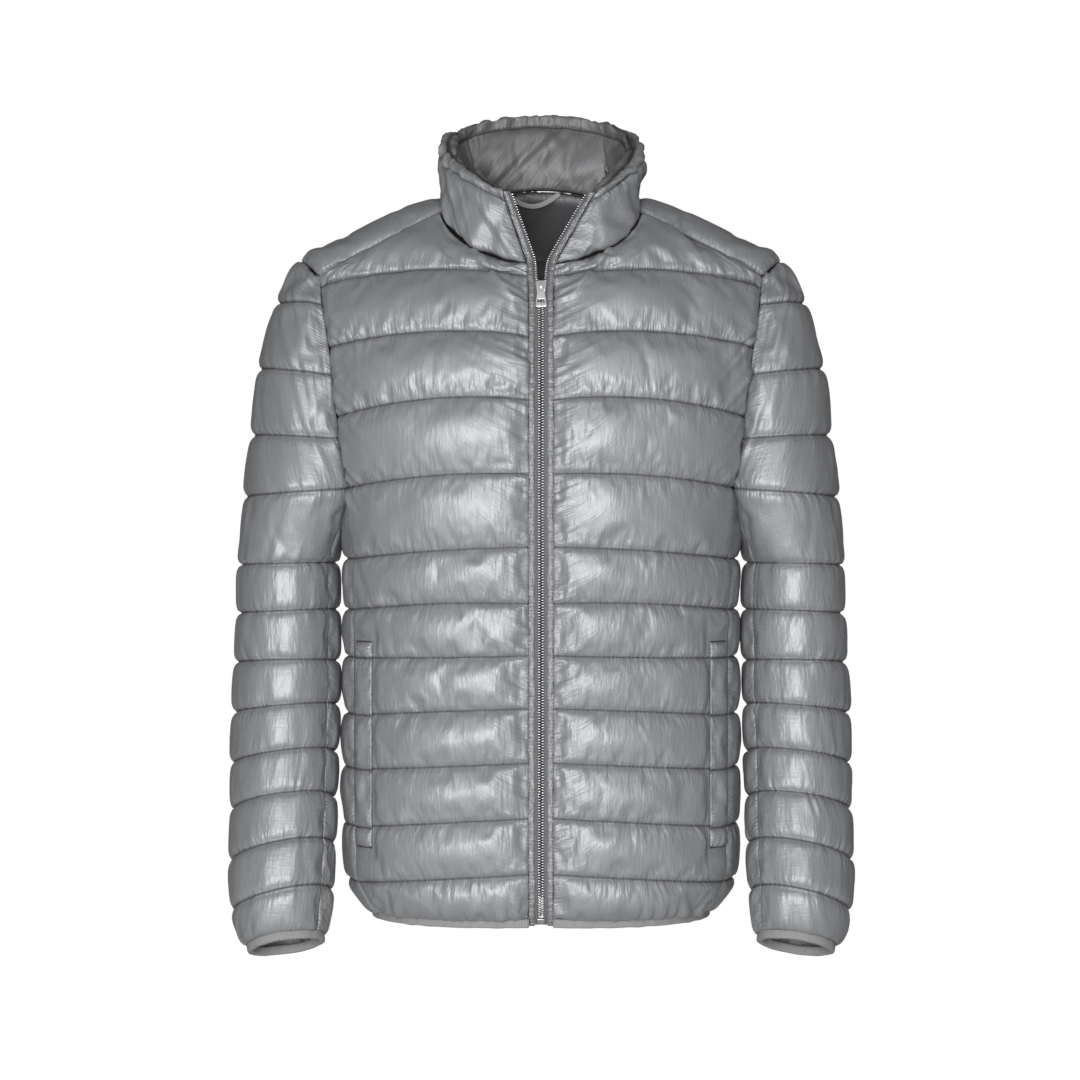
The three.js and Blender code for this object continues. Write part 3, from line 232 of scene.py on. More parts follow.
def smooth_step(low, high, value):
    t = np.clip((value - low) / (high - low), 0, 1)
    return t * t * (3 - 2 * t)


def ripple(x, y, seed):
    """Smooth random hills from -1 to 1, about one unit apart."""
    size = 64
    table = np.random.default_rng(seed).uniform(-1, 1, (size, size))
    i, j = np.floor(x).astype(int), np.floor(y).astype(int)
    s, t = smooth_step(0, 1, x - i), smooth_step(0, 1, y - j)
    i, j, right, above = i % size, j % size, (i + 1) % size, (j + 1) % size
    low = lerp(table[i, j], table[right, j], s)
    high = lerp(table[i, above], table[right, above], s)
    return lerp(low, high, t)


def interpolated(wanted, along, rows):
    """The rows' values at the wanted places, where along holds the place of each row."""
    return np.stack([np.interp(wanted, along, rows[:, axis]) for axis in range(3)], -1)


def smooth_column(rows, at, key):
    """A smooth function through the values in one of a table's columns."""
    rows = sorted(rows, key=lambda row: row[at])
    xs = np.array([row[at] for row in rows], float)
    ys = np.array([row[key] for row in rows], float)
    steps = np.diff(ys) / np.diff(xs)
    before, after = steps[:-1], steps[1:]
    turns = before * after <= 0
    middle = np.where(turns, 0, 2 * before * after / np.where(turns, 1, before + after))
    slopes = np.concatenate([steps[:1], middle, steps[-1:]])

    def value(wanted):
        t = np.clip(wanted, xs[0], xs[-1])
        i = np.clip(np.searchsorted(xs, t, side="right") - 1, 0, len(xs) - 2)
        span = xs[i + 1] - xs[i]
        s = (t - xs[i]) / span
        bend = slopes[i] * span * s * (1 - s) ** 2 - slopes[i + 1] * span * s * s * (1 - s)
        return ys[i] + (ys[i + 1] - ys[i]) * s * s * (3 - 2 * s) + bend

    return value


class Face:
    """The front or the back of the body."""

    def __init__(self, side, key, start, round_off, rise):
        self.side = side
        self.depth = smooth_column(BODY, "z", key)
        self.start = start
        self.round_off = round_off
        self.rise = rise


body_half = smooth_column(BODY, "z", "half")
FRONT = Face(-1, "front", start=-230, round_off=1.5, rise=20)
BACK = Face(1, "back", start=-200, round_off=2, rise=35)


def ridge_z(x, face):
    out = np.abs(x) - SHOULDER_X
    return np.where(out > 0, -SHOULDER_SLOPE * out, face.rise * (1 - (x / SHOULDER_X) ** 2))


def width_share(x, z):
    t = np.minimum(np.abs(x) / body_half(z), 1)
    return (1 - t**BODY_ROUND) ** (1 / BODY_ROUND)


def body_point(x, z, face):
    up = np.clip((z - face.start) / (ridge_z(x, face) - face.start), 0, 1)
    shoulder = (1 - up**face.round_off) ** (1 / face.round_off)
    return point(x, face.side * face.depth(z) * width_share(x, z) * shoulder, z)


def body_level(p, face):
    x, y, z = p[..., 0], p[..., 1], p[..., 2]
    depth = np.abs(y) / face.depth(z)
    trunk = (np.abs(x) / body_half(z)) ** BODY_ROUND + depth**BODY_ROUND
    up = np.maximum((z - face.start) / (ridge_z(x, face) - face.start), 0)
    share = np.maximum(width_share(x, z), 1e-3)
    shoulder = (depth / share) ** face.round_off + up**face.round_off
    return np.where(z > face.start, shoulder, trunk)


def body_normal(p):
    """Outward direction of the body's surface."""
    found = []
    for face in (FRONT, BACK):
        slopes = [body_level(p + step, face) - body_level(p - step, face) for step in np.eye(3) / 2]
        found.append(unit(np.stack(slopes, -1)))
    return np.where(p[..., 1:2] < 0, found[0], found[1])


def yoke_drop(x):
    share = (np.abs(x) - NECK_FRONT_X) / (SHOULDER_TIP_X - NECK_FRONT_X)
    return lerp(YOKE_DROP["neck"], YOKE_DROP["tip"], np.maximum(share, 0))


def yoke_point(across, over):
    """across is 0 at the neck and 1 at the armhole; over is -1 at the front seam, 1 at the back."""
    across, over = np.broadcast_arrays(np.asarray(across, float), np.asarray(over, float))
    turn = np.abs(over)
    neck_x = np.where(over < 0, NECK_FRONT_X, lerp(NECK_FRONT_X, NECK_BACK_X, turn**1.5))
    x = lerp(neck_x, SHOULDER_TIP_X + SHOULDER_TIP_OUT * (1 - turn**1.6), across)
    found = []
    for face in (FRONT, BACK):
        ridge = ridge_z(x, face)
        seam = (ridge - yoke_drop(x) - face.start) / (ridge - face.start)
        angle = np.arccos(seam ** (face.round_off / 2)) * turn
        z = face.start + (ridge - face.start) * np.cos(angle) ** (2 / face.round_off)
        y = face.side * face.depth(z) * width_share(x, z) * np.sin(angle) ** (2 / face.round_off)
        found.append(point(-x, y, z))
    return np.where(over[..., None] < 0, found[0], found[1])


def front_top(x):
    edge = yoke_point(0, -1)[2]
    reach = 1 - (np.minimum(x, NECK_FRONT_X) / (NECK_FRONT_X + 0.001)) ** NECK_FRONT_ROUND
    neck = edge + (NECK_FRONT_Z - edge) * reach ** (1 / NECK_FRONT_ROUND)
    return np.where(x >= NECK_FRONT_X, ridge_z(x, FRONT) - yoke_drop(x), neck)


def back_top(x):
    edge = yoke_point(0, 1)[2]
    neck = lerp(NECK_BACK_Z, edge, (np.abs(x) / NECK_BACK_X) ** 2)
    return np.where(np.abs(x) >= NECK_BACK_X, ridge_z(x, BACK) - yoke_drop(x), neck)


def zip_edge_x(z):
    opened = np.clip((z - SLIDER_Z) / (NECK_FRONT_Z - SLIDER_Z), 0, 1)
    return lerp(TAPE_EDGE, NECK_OPEN, opened)


def table_columns(rows):
    """A table's columns as arrays, with its first row twice, so that lines count from 1."""
    return {key: np.array([rows[0][key]] + [row[key] for row in rows], float) for key in rows[0]}


front_table = table_columns(FRONT_LINES)
back_rows = BACK_TOP_LINES + [
    dict(middle=line["edge"] + BACK_ARCH, edge=line["edge"], x=line["x"])
    for line in FRONT_LINES[UNDERARM_LINE:]
]
back_table = table_columns(back_rows)
FRONT_BLOCKS = len(FRONT_LINES)
BACK_BLOCKS = len(back_rows)
BACK_UNDERARM = len(BACK_TOP_LINES)


def front_line(k, u):
    """x and height of a front's quilt line k at the share u from zip to edge; 0 is its top."""
    line = {key: column[k] for key, column in front_table.items()}
    arch = line["middle"] - (line["zip"] + line["edge"]) / 2
    z = lerp(line["zip"], line["edge"], u) + arch * 4 * u * (1 - u)
    x = lerp(zip_edge_x(line["zip"]), line["x"], u)
    top_x = lerp(NECK_OPEN, SHOULDER_TIP_X, u)
    return np.where(k == 0, top_x, x), np.where(k == 0, front_top(top_x), z)


def back_line(k, u):
    side = 2 * u - 1
    line = {key: column[k] for key, column in back_table.items()}
    top_x = side * SHOULDER_TIP_X
    x = np.where(k == 0, top_x, side * line["x"])
    return x, np.where(k == 0, back_top(top_x), lerp(line["middle"], line["edge"], side**2))


def between(line_at, blocks, u, v):
    u, v = np.broadcast_arrays(np.asarray(u, float), np.asarray(v, float))
    k = np.clip(np.floor(v + 1e-9).astype(int), 0, blocks - 1)
    above, below = line_at(k, u), line_at(k + 1, u)
    return lerp(above[0], below[0], v - k), lerp(above[1], below[1], v - k)


def front_point(u, v):
    x, z = between(front_line, FRONT_BLOCKS, u, v)
    return body_point(-x, z, FRONT)


def back_point(u, v):
    x, z = between(back_line, BACK_BLOCKS, u, v)
    return body_point(x, z, BACK)


def side_point(u, v):
    """u runs from the front seam to the back seam, v counts the front's quilt lines."""
    front, back = front_point(1, v), back_point(0, v - UNDERARM_LINE + BACK_UNDERARM)
    dip = UNDERARM_DIP * np.maximum(1 - (v - UNDERARM_LINE), 0) * 4 * u * (1 - u)
    z = lerp(front[..., 2], back[..., 2], u) - dip
    y = lerp(front[..., 1], back[..., 1], u)
    depth = np.where(y < 0, -y / FRONT.depth(z), y / BACK.depth(z))
    return point(-body_half(z) * (1 - depth**BODY_ROUND) ** (1 / BODY_ROUND), y, z)


# The armhole's front and back edge, by height
edge_shares = np.linspace(0, 1, 81)
armhole_front = front_point(1, edge_shares * UNDERARM_LINE)
armhole_back = back_point(0, edge_shares * BACK_UNDERARM)


def at_height(line, z):
    """The points of a falling line at the heights z."""
    rising = line[::-1]
    return interpolated(z, rising[:, 2], rising)


def ellipse_through(front, out, back, turn):
    turn = math.radians(turn)
    rest_front, rest_back = front - out * math.cos(turn), back - out * math.cos(turn)
    whole = 2 * (1 - math.cos(turn)) * math.sin(turn)
    centre = (rest_front + rest_back) * math.sin(turn) / whole
    deep = (rest_back - rest_front) * (1 - math.cos(turn)) / whole
    return centre, out - centre, deep, turn, turn


def tube_row(row):
    centre = point(-row["x"], row["y"], (row["outer"] + row["inner"]) / 2)
    across = point(-row["across"], 0, (row["outer"] - row["inner"]) / 2)
    deep = point(0, row["deep"], -row["rise"])
    return centre, across, deep, math.radians(SEAM_TURN["front"]), math.radians(SEAM_TURN["back"])


cap_top = ellipse_through(armhole_front[0], yoke_point(1, 0), armhole_back[0], CAP_TOP_TURN)
cap_rows = [
    ellipse_through(
        at_height(armhole_front, row["armhole"]),
        point(-row["out"], 0, row["top"]),
        at_height(armhole_back, row["armhole"]),
        row["turn"],
    )
    for row in CAP
]
sleeve_table = [np.array(column) for column in zip(cap_top, *cap_rows, *map(tube_row, TUBE))]
CAP_LINES = len(CAP)
SLEEVE_BLOCKS = CAP_LINES + len(TUBE)
cap_heights = np.array([armhole_front[0, 2]] + [row["armhole"] for row in CAP], float)


def on_sleeve(v, point_of_row):
    k = np.clip(np.floor(v + 1e-9).astype(int), 0, SLEEVE_BLOCKS - 1)
    return lerp(point_of_row(k), point_of_row(k + 1), (v - k)[..., None])


def on_ellipse(k, angle):
    centre, across, deep = (column[k] for column in sleeve_table[:3])
    return centre + across * np.cos(angle)[..., None] + deep * np.sin(angle)[..., None]


def sleeve_point(u, v):
    """u runs from the front seam over the outside to the back seam; v counts quilt lines."""
    u, v = np.broadcast_arrays(np.asarray(u, float), np.asarray(v, float))

    def row_point(k, u=u):
        angle = lerp(-sleeve_table[3][k], sleeve_table[4][k], u)
        return np.where((k == 0)[..., None], yoke_point(1, 2 * u - 1), on_ellipse(k, angle))

    found = on_sleeve(v, row_point)
    height = np.interp(v, np.arange(CAP_LINES + 1), cap_heights)
    for end, line, share in ((0.0, armhole_front, u), (1.0, armhole_back, 1 - u)):
        seam = np.full(u.shape, end)
        miss = at_height(line, height) - on_sleeve(v, lambda k: row_point(k, seam))
        pull = np.where(v < CAP_LINES, np.maximum(1 - share / 0.3, 0) ** 2, 0)
        found = found + miss * pull[..., None]
    return found


def under_point(u, v):
    u, v = np.broadcast_arrays(np.asarray(u, float), np.asarray(v, float))

    def row_point(k):
        angle = lerp(-sleeve_table[3][k], sleeve_table[4][k] - 2 * math.pi, u)
        top = side_point(u, np.full(u.shape, float(UNDERARM_LINE)))
        return np.where((k == CAP_LINES)[..., None], top, on_ellipse(k, angle))

    return on_sleeve(v, row_point)


def smooth_curve(points, steps=40):
    """Points along a smooth curve through the given ones."""
    given = [np.array(p, float) for p in points]
    given = [2 * given[0] - given[1], *given, 2 * given[-1] - given[-2]]
    found = []
    for a, b, c, d in zip(given, given[1:], given[2:], given[3:]):
        spans = [math.sqrt(np.linalg.norm(q - p)) for p, q in ((a, b), (b, c), (c, d))]
        start = (b - a) / spans[0] - (c - a) / (spans[0] + spans[1]) + (c - b) / spans[1]
        end = (c - b) / spans[1] - (d - b) / (spans[1] + spans[2]) + (d - c) / spans[2]
        t = np.linspace(0, 1, steps, endpoint=False)[:, None]
        start, end = start * spans[1], end * spans[1]
        cubic = (2 * b - 2 * c + start + end) * t**3 + (3 * c - 3 * b - 2 * start - end) * t**2
        found.append(cubic + start * t + b)
    return np.vstack([*found, given[-2][None]])


def creased(hills):
    """Round ridges with a sharp valley between each two."""
    return 2.4 * np.abs(hills) - 0.8


def lengths(line):
    return np.concatenate([[0], np.cumsum(np.linalg.norm(np.diff(line, axis=0), axis=1))])


def by_length(line):
    """A function that gives the point at a share of a line's length."""
    along = lengths(line)
    return lambda u: interpolated(np.asarray(u) * along[-1], along, line)


front_neck_x = np.linspace(NECK_OPEN, NECK_FRONT_X, 40)
back_neck_x = np.linspace(NECK_BACK_X, 0, 30)
half_neck = np.vstack([
    body_point(-front_neck_x, front_top(front_neck_x), FRONT),
    yoke_point(0, np.linspace(-1, 1, 30))[1:-1],
    body_point(-back_neck_x, back_top(back_neck_x), BACK),
])
neck_at = by_length(np.vstack([half_neck, half_neck[-2::-1] * MIRROR]))
rim_at = by_length(smooth_curve(RIM))


def collar_out(u):
    a, b = np.clip(u - 0.02, 0, 1), np.clip(u + 0.02, 0, 1)
    along = rim_at(b) + neck_at(b) - rim_at(a) - neck_at(a)
    return unit(point(-along[..., 1], along[..., 0], 0))


def collar_point(u, down, inward):
    down, inward = np.asarray(down, float), np.asarray(inward, float)
    return lerp(rim_at(u), neck_at(u), down[..., None]) - collar_out(u) * inward[..., None]


def zip_on_body(z, side):
    """A point on the edge of a front, the way from it into the opening, and the way outward."""
    p = body_point(side * zip_edge_x(z), z, FRONT)
    n = unit(body_normal(p) * np.array([0, 1, 1]))
    return p - n * CHAIN_DEEP, np.broadcast_to(point(-side, 0, 0), p.shape), n


def zip_on_collar(down, side):
    end = np.full(np.shape(down), 0.0 if side < 0 else 1.0)
    n = collar_out(end)
    across = point(-n[..., 1], n[..., 0], 0)
    across = across * -np.sign(across[..., :1] * side)
    return collar_point(end, down, np.full(np.shape(down), COLLAR_THICK / 2)), across, n


# Cloth pieces


def new_object(name, mesh):
    obj = bpy.data.objects.new(name, mesh)
    bpy.context.scene.collection.objects.link(obj)
    return obj


def shade_smooth(mesh):
    for polygon in mesh.polygons:
        polygon.use_smooth = True


def mesh_from(bm, name):
    mesh = bpy.data.meshes.new(name)
    bm.to_mesh(mesh)
    bm.free()
    shade_smooth(mesh)
    return mesh


def grid_mesh(name, points, flip):
    """A grid of faces through an array of points with rows and columns, in millimetres."""
    rows, columns = points.shape[:2]
    bm = bmesh.new()
    bmesh.ops.create_grid(bm, x_segments=columns - 1, y_segments=rows - 1, size=1)
    bm.verts.ensure_lookup_table()
    flat = points.reshape(-1, 3) * MM
    for vert, place in zip(bm.verts, flat):
        vert.co = place
    if flip:
        bmesh.ops.reverse_faces(bm, faces=bm.faces)
    return mesh_from(bm, name)


def set_attribute(mesh, name, values):
    layer = mesh.attributes.new(name, "FLOAT", "POINT")
    layer.data.foreach_set("value", np.asarray(values, np.float32).ravel())


def get_attribute(mesh, name):
    values = np.zeros(len(mesh.vertices), np.float32)
    mesh.attributes[name].data.foreach_get("value", values)
    return values.astype(float)


def get_points(mesh):
    values = np.zeros(len(mesh.vertices) * 3, np.float32)
    mesh.vertices.foreach_get("co", values)
    return values.reshape(-1, 3).astype(float)


def set_points(mesh, points):
    mesh.vertices.foreach_set("co", points.astype(np.float32).ravel())
    mesh.update()


def even(count, least=4):
    return max(least, 2 * round(count / 2))


NECK_SPOTS = neck_at(np.linspace(0, 1, 60))


class Spots:
    """What is known of the cloth at each of a mesh's vertices."""

    def __init__(self, mesh):
        self.across, self.down = get_attribute(mesh, "across"), get_attribute(mesh, "down")
        self.to_line, self.to_side = get_attribute(mesh, "to_line"), get_attribute(mesh, "to_side")
        self.loose = get_attribute(mesh, "loose")
        place = get_attribute(mesh, "side_of_line")
        self.side = np.floor(place + 0.5)
        self.block = np.floor(place / 2 + 0.25)
        self.share = np.clip(place - 2 * self.block, 0, 1)
        self.end = (self.across > self.to_side + 1e-3).astype(float)
        points = get_points(mesh) / MM
        self.x, self.z = np.abs(points[:, 0]), points[:, 2]


class Panel:
    """One cut piece of quilted cloth: its surface at the stitches, with the cloth raised on it."""

    def __init__(self, name, point_at, core, blocks, first=0, puff=PUFF, wall=WALL, lines=None,
                 mirror=False, folds=None, flat=None, stiff=None, fullness=None, soft_start=False,
                 lift=LIFT, down_step=DOWN_STEP):
        self.name = name
        self.wall = wall
        self.puff = puff
        self.seed = sum(map(ord, name))
        lines = np.arange(first, blocks + 1, dtype=float) if lines is None else np.array(lines, float)
        middle = point_at(np.full(len(lines), 0.5), lines)
        heights = np.linalg.norm(np.diff(middle, axis=0), axis=1)
        row = point_at(np.linspace(0, 1, 60), np.full(60, (lines[0] + lines[-1]) / 2))
        width = lengths(row)[-1]
        self.columns = even(width / ACROSS_STEP)
        steps = [even(height / down_step) for height in heights]
        spans = [np.linspace(a, b, n, endpoint=False) for a, b, n in zip(lines, lines[1:], steps)]
        vs = np.concatenate([*spans, lines[-1:]])
        self.line_rows = np.concatenate([[0], np.cumsum(steps)])
        inset = SEAM_GAP / 2
        us = np.linspace(inset / width, 1 - inset / width, self.columns + 1)
        vs[0] += inset / heights[0] * (lines[1] - lines[0])
        vs[-1] -= inset / heights[-1] * (lines[-1] - lines[-2])
        self.u, self.v = np.meshgrid(us, vs)
        base = point_at(self.u, self.v)
        normal = unit(np.cross(np.gradient(base, axis=1), np.gradient(base, axis=0)))
        outward = np.sign(np.sum(normal * (base - core(base, self.v)), -1).mean())
        self.flip = outward < 0
        normal = self.smoothed(normal * outward)
        if mirror:
            base, normal = base * MIRROR, normal * MIRROR
            self.flip = not self.flip
        steps_across = np.linalg.norm(np.diff(base, axis=1), axis=-1)
        steps_down = np.linalg.norm(np.diff(base, axis=0), axis=-1)
        self.across = np.pad(np.cumsum(steps_across, axis=1), ((0, 0), (1, 0)))
        self.down = np.pad(np.cumsum(steps_down, axis=0), ((1, 0), (0, 0)))
        self.base, self.normal = base + normal * (lift * self.lift_share(base))[..., None], normal
        self.set_distances(lines)
        self.folds = folds
        self.fullness = np.array(fullness or [1.0] * (len(lines) - 1))[self.block][:, None]
        self.soft_start = soft_start
        self.height = self.start_height(flat)
        self.stiff = stiff(self) if stiff else np.zeros(self.u.shape, bool)
        self.make_cloth()

    def lift_share(self, base):
        """0 at the neck, at the zip and at the seams of shoulder and armhole, and 1 away from them."""
        apart = np.linalg.norm(base[:, :, None] - NECK_SPOTS, axis=-1).min(-1)
        free = smooth_step(4, 45, apart) * smooth_step(TAPE_EDGE, 45, np.abs(base[..., 0]))
        beside = np.minimum(self.across, self.across[:, -1:] - self.across)
        edge = np.minimum.reduce([beside, self.down, self.down[-1:] - self.down])
        shoulder = smooth_step(-330, -270, base[..., 2])
        return free * (1 - shoulder * (1 - smooth_step(0, 14, edge)))

    @staticmethod
    def smoothed(normal):
        for _ in range(2):
            wide = np.pad(normal, ((1, 1), (1, 1), (0, 0)), mode="edge")
            normal = unit(wide[:-2, 1:-1] + wide[2:, 1:-1] + wide[1:-1, :-2] + wide[1:-1, 2:] + 2 * normal)
        return normal

    def set_distances(self, lines):
        """How far each point is from its line of stitches, and from the seams at the sides."""
        row = np.arange(self.u.shape[0])
        self.block = np.clip(np.searchsorted(self.line_rows, row, side="right") - 1, 0, len(lines) - 2)
        top, bottom = self.line_rows[self.block], self.line_rows[self.block + 1]
        above = self.down - self.down[top]
        below = self.down[bottom] - self.down
        self.share = above / np.maximum(above + below, 1e-6)
        self.block_height = above + below
        self.to_line = np.minimum(above, below)
        self.to_side = np.minimum(self.across, self.across[:, -1:] - self.across)

    def start_height(self, flat):
        """Height over the stitches before the simulation."""
        t = self.share**PUFF_SKEW
        puff = np.minimum(self.puff, self.block_height * 0.3)
        arch = np.maximum(4 * t * (1 - t), 0) ** 0.5
        nearness = np.clip(self.to_side / SEAM_ROUND, 0, 1)
        rounded = np.sqrt(1 - (1 - nearness) ** 2)
        if self.soft_start:
            rounded = np.minimum(rounded, smooth_step(-6, ZIP_ROUND, self.across))
        uneven = 1 + 0.14 * ripple(self.across / 45, self.block[:, None] * 3.7 + self.share, self.seed)
        self.free = arch * rounded
        height = puff * self.fullness * self.free * uneven
        held = flat(self) if flat else np.zeros(self.u.shape)
        self.loose = 1 - held
        height = lerp(height, 0.4, held)
        return np.maximum(height, 0)

    def make_cloth(self):
        points = self.base + self.normal * self.height[..., None]
        mesh = grid_mesh(self.name, points, self.flip)
        values = dict(
            across=self.across,
            down=self.down,
            to_line=self.to_line,
            to_side=self.to_side,
            side_of_line=self.block[:, None] * 2.0 + self.share,
            loose=self.loose,
        )
        for name, value in values.items():
            set_attribute(mesh, name, np.broadcast_to(value, self.u.shape))
        self.obj = new_object(self.name, mesh)
        sewn = np.zeros(self.u.shape, bool)
        sewn[self.line_rows] = True
        sewn[:, [0, -1]] = True
        sewn |= self.stiff
        self.sewn = sewn
        rows, columns = self.u.shape
        crease = mesh.attributes.new("crease_edge", "FLOAT", "EDGE")
        ends = np.zeros(len(mesh.edges) * 2, np.int32)
        mesh.edges.foreach_get("vertices", ends)
        row_of = ends.reshape(-1, 2) // columns
        on_line = np.isin(row_of, self.line_rows[1:-1]).all(1) & (row_of[:, 0] == row_of[:, 1])
        crease.data.foreach_set("value", on_line.astype(np.float32))

    def add_simulation(self):
        pins = self.obj.vertex_groups.new(name="sewn")
        pins.add(np.flatnonzero(self.sewn.ravel()).tolist(), 1.0, "REPLACE")
        slack = self.obj.vertex_groups.new(name="slack")
        fullness = smooth_step(0, 1, np.clip(self.free, 0, 1)).ravel()
        for level in range(11):
            chosen = np.flatnonzero(np.round(fullness * 10) == level).tolist()
            if chosen:
                slack.add(chosen, level / 10, "REPLACE")
        cloth = self.obj.modifiers.new("cloth", "CLOTH")
        settings = cloth.settings
        settings.quality = 4
        settings.mass = 0.3
        settings.tension_stiffness = 14
        settings.compression_stiffness = 9
        settings.shear_stiffness = 4
        settings.bending_stiffness = 0.25
        settings.air_damping = 1.5
        settings.vertex_group_mass = "sewn"
        settings.vertex_group_shrink = "slack"
        settings.shrink_min = -0.07
        settings.shrink_max = -0.02
        settings.use_pressure = True
        settings.uniform_pressure_force = 4
        settings.effector_weights.gravity = 0
        cloth.collision_settings.use_collision = False
        cloth.point_cache.frame_start = 1
        cloth.point_cache.frame_end = CLOTH_FRAMES

    def apply_simulation(self):
        evaluated = self.obj.evaluated_get(bpy.context.evaluated_depsgraph_get())
        moved = get_points(evaluated.data) / MM
        start = (self.base + self.normal * self.height[..., None]).reshape(-1, 3)
        move = moved - start
        far = np.linalg.norm(move, axis=1, keepdims=True)
        move *= np.minimum(1, CLOTH_CAP * np.clip(self.puff / PUFF, 0.5, 1) / np.maximum(far, 1e-6))
        base, normal = self.base.reshape(-1, 3), self.normal.reshape(-1, 3)
        points = start + move
        level = np.sum((points - base) * normal, -1)
        points += normal * np.maximum(0.15 - level, 0)[:, None]
        self.obj.modifiers.clear()
        self.obj.vertex_groups.clear()
        set_points(self.obj.data, points * MM)

    def puckers(self, cloth):
        """Upright puckers on the lines of stitches, and level ones on the seams at the sides."""
        slant = ripple(cloth.across / 50, cloth.side * 1.3 + 0.5, self.seed + 5) * 0.5
        along = cloth.across + slant * cloth.to_line
        gate = 0.8 + 0.7 * ripple(cloth.across / 23, cloth.side * 2.7, self.seed + 6)
        reach = 9 + 7 * ripple(cloth.across / 15, cloth.side * 3.9, self.seed + 11)
        fine = ripple(along / 3.3, cloth.side * 4.3, self.seed + 7)
        wide = creased(ripple(along / 6.5, cloth.side * 5.1, self.seed + 3))
        rise = smooth_step(0, 3.5, cloth.to_line)
        depth = (fine * 0.6 + wide * 1.2) * gate * np.exp(-cloth.to_line / reach) * (0.25 + 0.75 * rise)
        fine = ripple(cloth.down / 3.6, cloth.end * 9 + 0.5, self.seed + 8)
        wide = creased(ripple(cloth.down / 7.2, cloth.end * 7 + 0.5, self.seed + 4))
        rise = smooth_step(0, 3.5, cloth.to_side)
        depth += (fine * 0.6 + wide * 1.1) * np.exp(-cloth.to_side / 9) * (0.25 + 0.75 * rise)
        depth += ripple(cloth.across / 19, cloth.down / 27, self.seed + 9) * 0.5
        depth *= 0.2 + 0.8 * cloth.loose
        return depth - 1.3 * np.exp(-((cloth.to_line / 1.7) ** 2))

    def finish(self):
        """Halves the mesh, adds the puckers and folds and closes it with the inside."""
        subdivision = self.obj.modifiers.new("finer", "SUBSURF")
        subdivision.levels = subdivision.render_levels = 1
        evaluated = self.obj.evaluated_get(bpy.context.evaluated_depsgraph_get())
        mesh = bpy.data.meshes.new_from_object(evaluated)
        self.obj.modifiers.clear()
        cloth = Spots(mesh)
        depth = self.puckers(cloth)
        if self.folds:
            depth += self.folds(cloth, self)
        normals = np.zeros(len(mesh.vertices) * 3, np.float32)
        mesh.vertex_normals.foreach_get("vector", normals)
        set_points(mesh, get_points(mesh) + normals.reshape(-1, 3) * depth[:, None] * MM)
        old = self.obj.data
        self.obj.data = mesh
        bpy.data.meshes.remove(old)
        self.close()

    def close(self):
        """The inside, a wall's thickness in, joined to the outside along the seams."""
        step = INNER_STEPS
        swell = np.minimum(self.free, 1) * 2.0
        swell = swell + ripple(self.across / 12, self.down / 22, self.seed + 10) * np.minimum(self.free, 1)
        inner = self.base - self.normal * (self.wall + swell)[..., None]
        inner = inner[::step, ::step]
        # inner is 0 on the outside and 1 on the inside faces, which the nylon's colour darkens as painted
        # shade.
        set_attribute(self.obj.data, "inner", np.zeros(len(self.obj.data.vertices)))
        bm = bmesh.new()
        bm.from_mesh(self.obj.data)
        inside = grid_mesh("inside", inner, not self.flip)
        values = dict(
            across=self.across, down=self.down, to_line=self.to_line, to_side=self.to_side,
            inner=np.ones(self.u.shape),
        )
        for name, value in values.items():
            set_attribute(inside, name, np.broadcast_to(value, self.u.shape)[::step, ::step])
        bm.from_mesh(inside)
        rims = [edge for edge in bm.edges if edge.is_boundary]
        bmesh.ops.bridge_loops(bm, edges=rims)
        bm.normal_update()
        bm.to_mesh(self.obj.data)
        bm.free()
        shade_smooth(self.obj.data)
        bpy.data.meshes.remove(inside)


def body_core(p, v):
    return point(0, 0, np.minimum(p[..., 2], -120))


def sleeve_core(p, v):
    return on_sleeve(v, lambda k: sleeve_table[0][k])


def front_folds(cloth, panel):
    """Long folds from the zip's stitches, ones that hang from the collar, and the hem's gathers."""
    out = cloth.x - TAPE_EDGE
    chest = smooth_step(-330, -120, cloth.z)
    reach = lerp(17, 32, chest)
    height = cloth.z - lerp(0.55, 0.5, chest) * out + 1.5 * ripple(cloth.z / 40, out / 40, panel.seed + 24)
    size = lerp(1.6, 2.1, chest) * (0.9 + 0.5 * ripple(height / 24, 0.5, panel.seed + 20))
    folds = creased(ripple(height / 7.5, out / 80, panel.seed + 21)) * size
    folds = folds * np.exp(-((out / reach) ** 1.3)) * smooth_step(-3, 3, out)
    folds = folds * smooth_step(0, 6, cloth.to_line) + neck_folds(cloth) + arm_folds(cloth, panel)
    return folds * cloth.loose + hem_gathers(cloth, panel)


def neck_folds(cloth):
    """Three folds that swing down from the seam of the collar to the top of the zip."""
    found = 0
    for start, drop, width, size in ((84, 0, 3.6, 2.4), (70, 9, 3.0, 1.8), (96, -12, 4.2, 1.6)):
        along = np.clip((start - cloth.x) / (start - 14), 0, 1)
        course = -drop - 22 - 78 * np.sin(along * math.pi / 2) ** 0.85
        near = np.exp(-(((cloth.z - course) / width) ** 2))
        found = found + size * near * smooth_step(0, 0.2, along) * smooth_step(14, 22, cloth.x)
    return found * smooth_step(0, 5, cloth.to_line)


def arm_folds(cloth, panel):
    """Slanting folds that start at the armhole's seam, on the two baffles above the underarm."""
    beside = cloth.to_side * cloth.end
    zone = cloth.end * smooth_step(-330, -290, cloth.z) * (1 - smooth_step(-150, -110, cloth.z))
    height = cloth.z + 1.1 * beside
    folds = creased(ripple(height / 9, 0.5, panel.seed + 23))
    return folds * 2.8 * zone * np.exp(-((beside / 30) ** 2)) * smooth_step(0, 6, beside)


def hem_gathers(cloth, panel):
    last = cloth.block >= panel.block.max() - 0.1
    near = smooth_step(0.2, 0.9, cloth.share)
    waves = creased(ripple(cloth.across / 13, 0.5 + cloth.share * 0.5, panel.seed + 22))
    return np.where(last, waves * near * 1.8 * smooth_step(0, 8, cloth.to_line), 0)


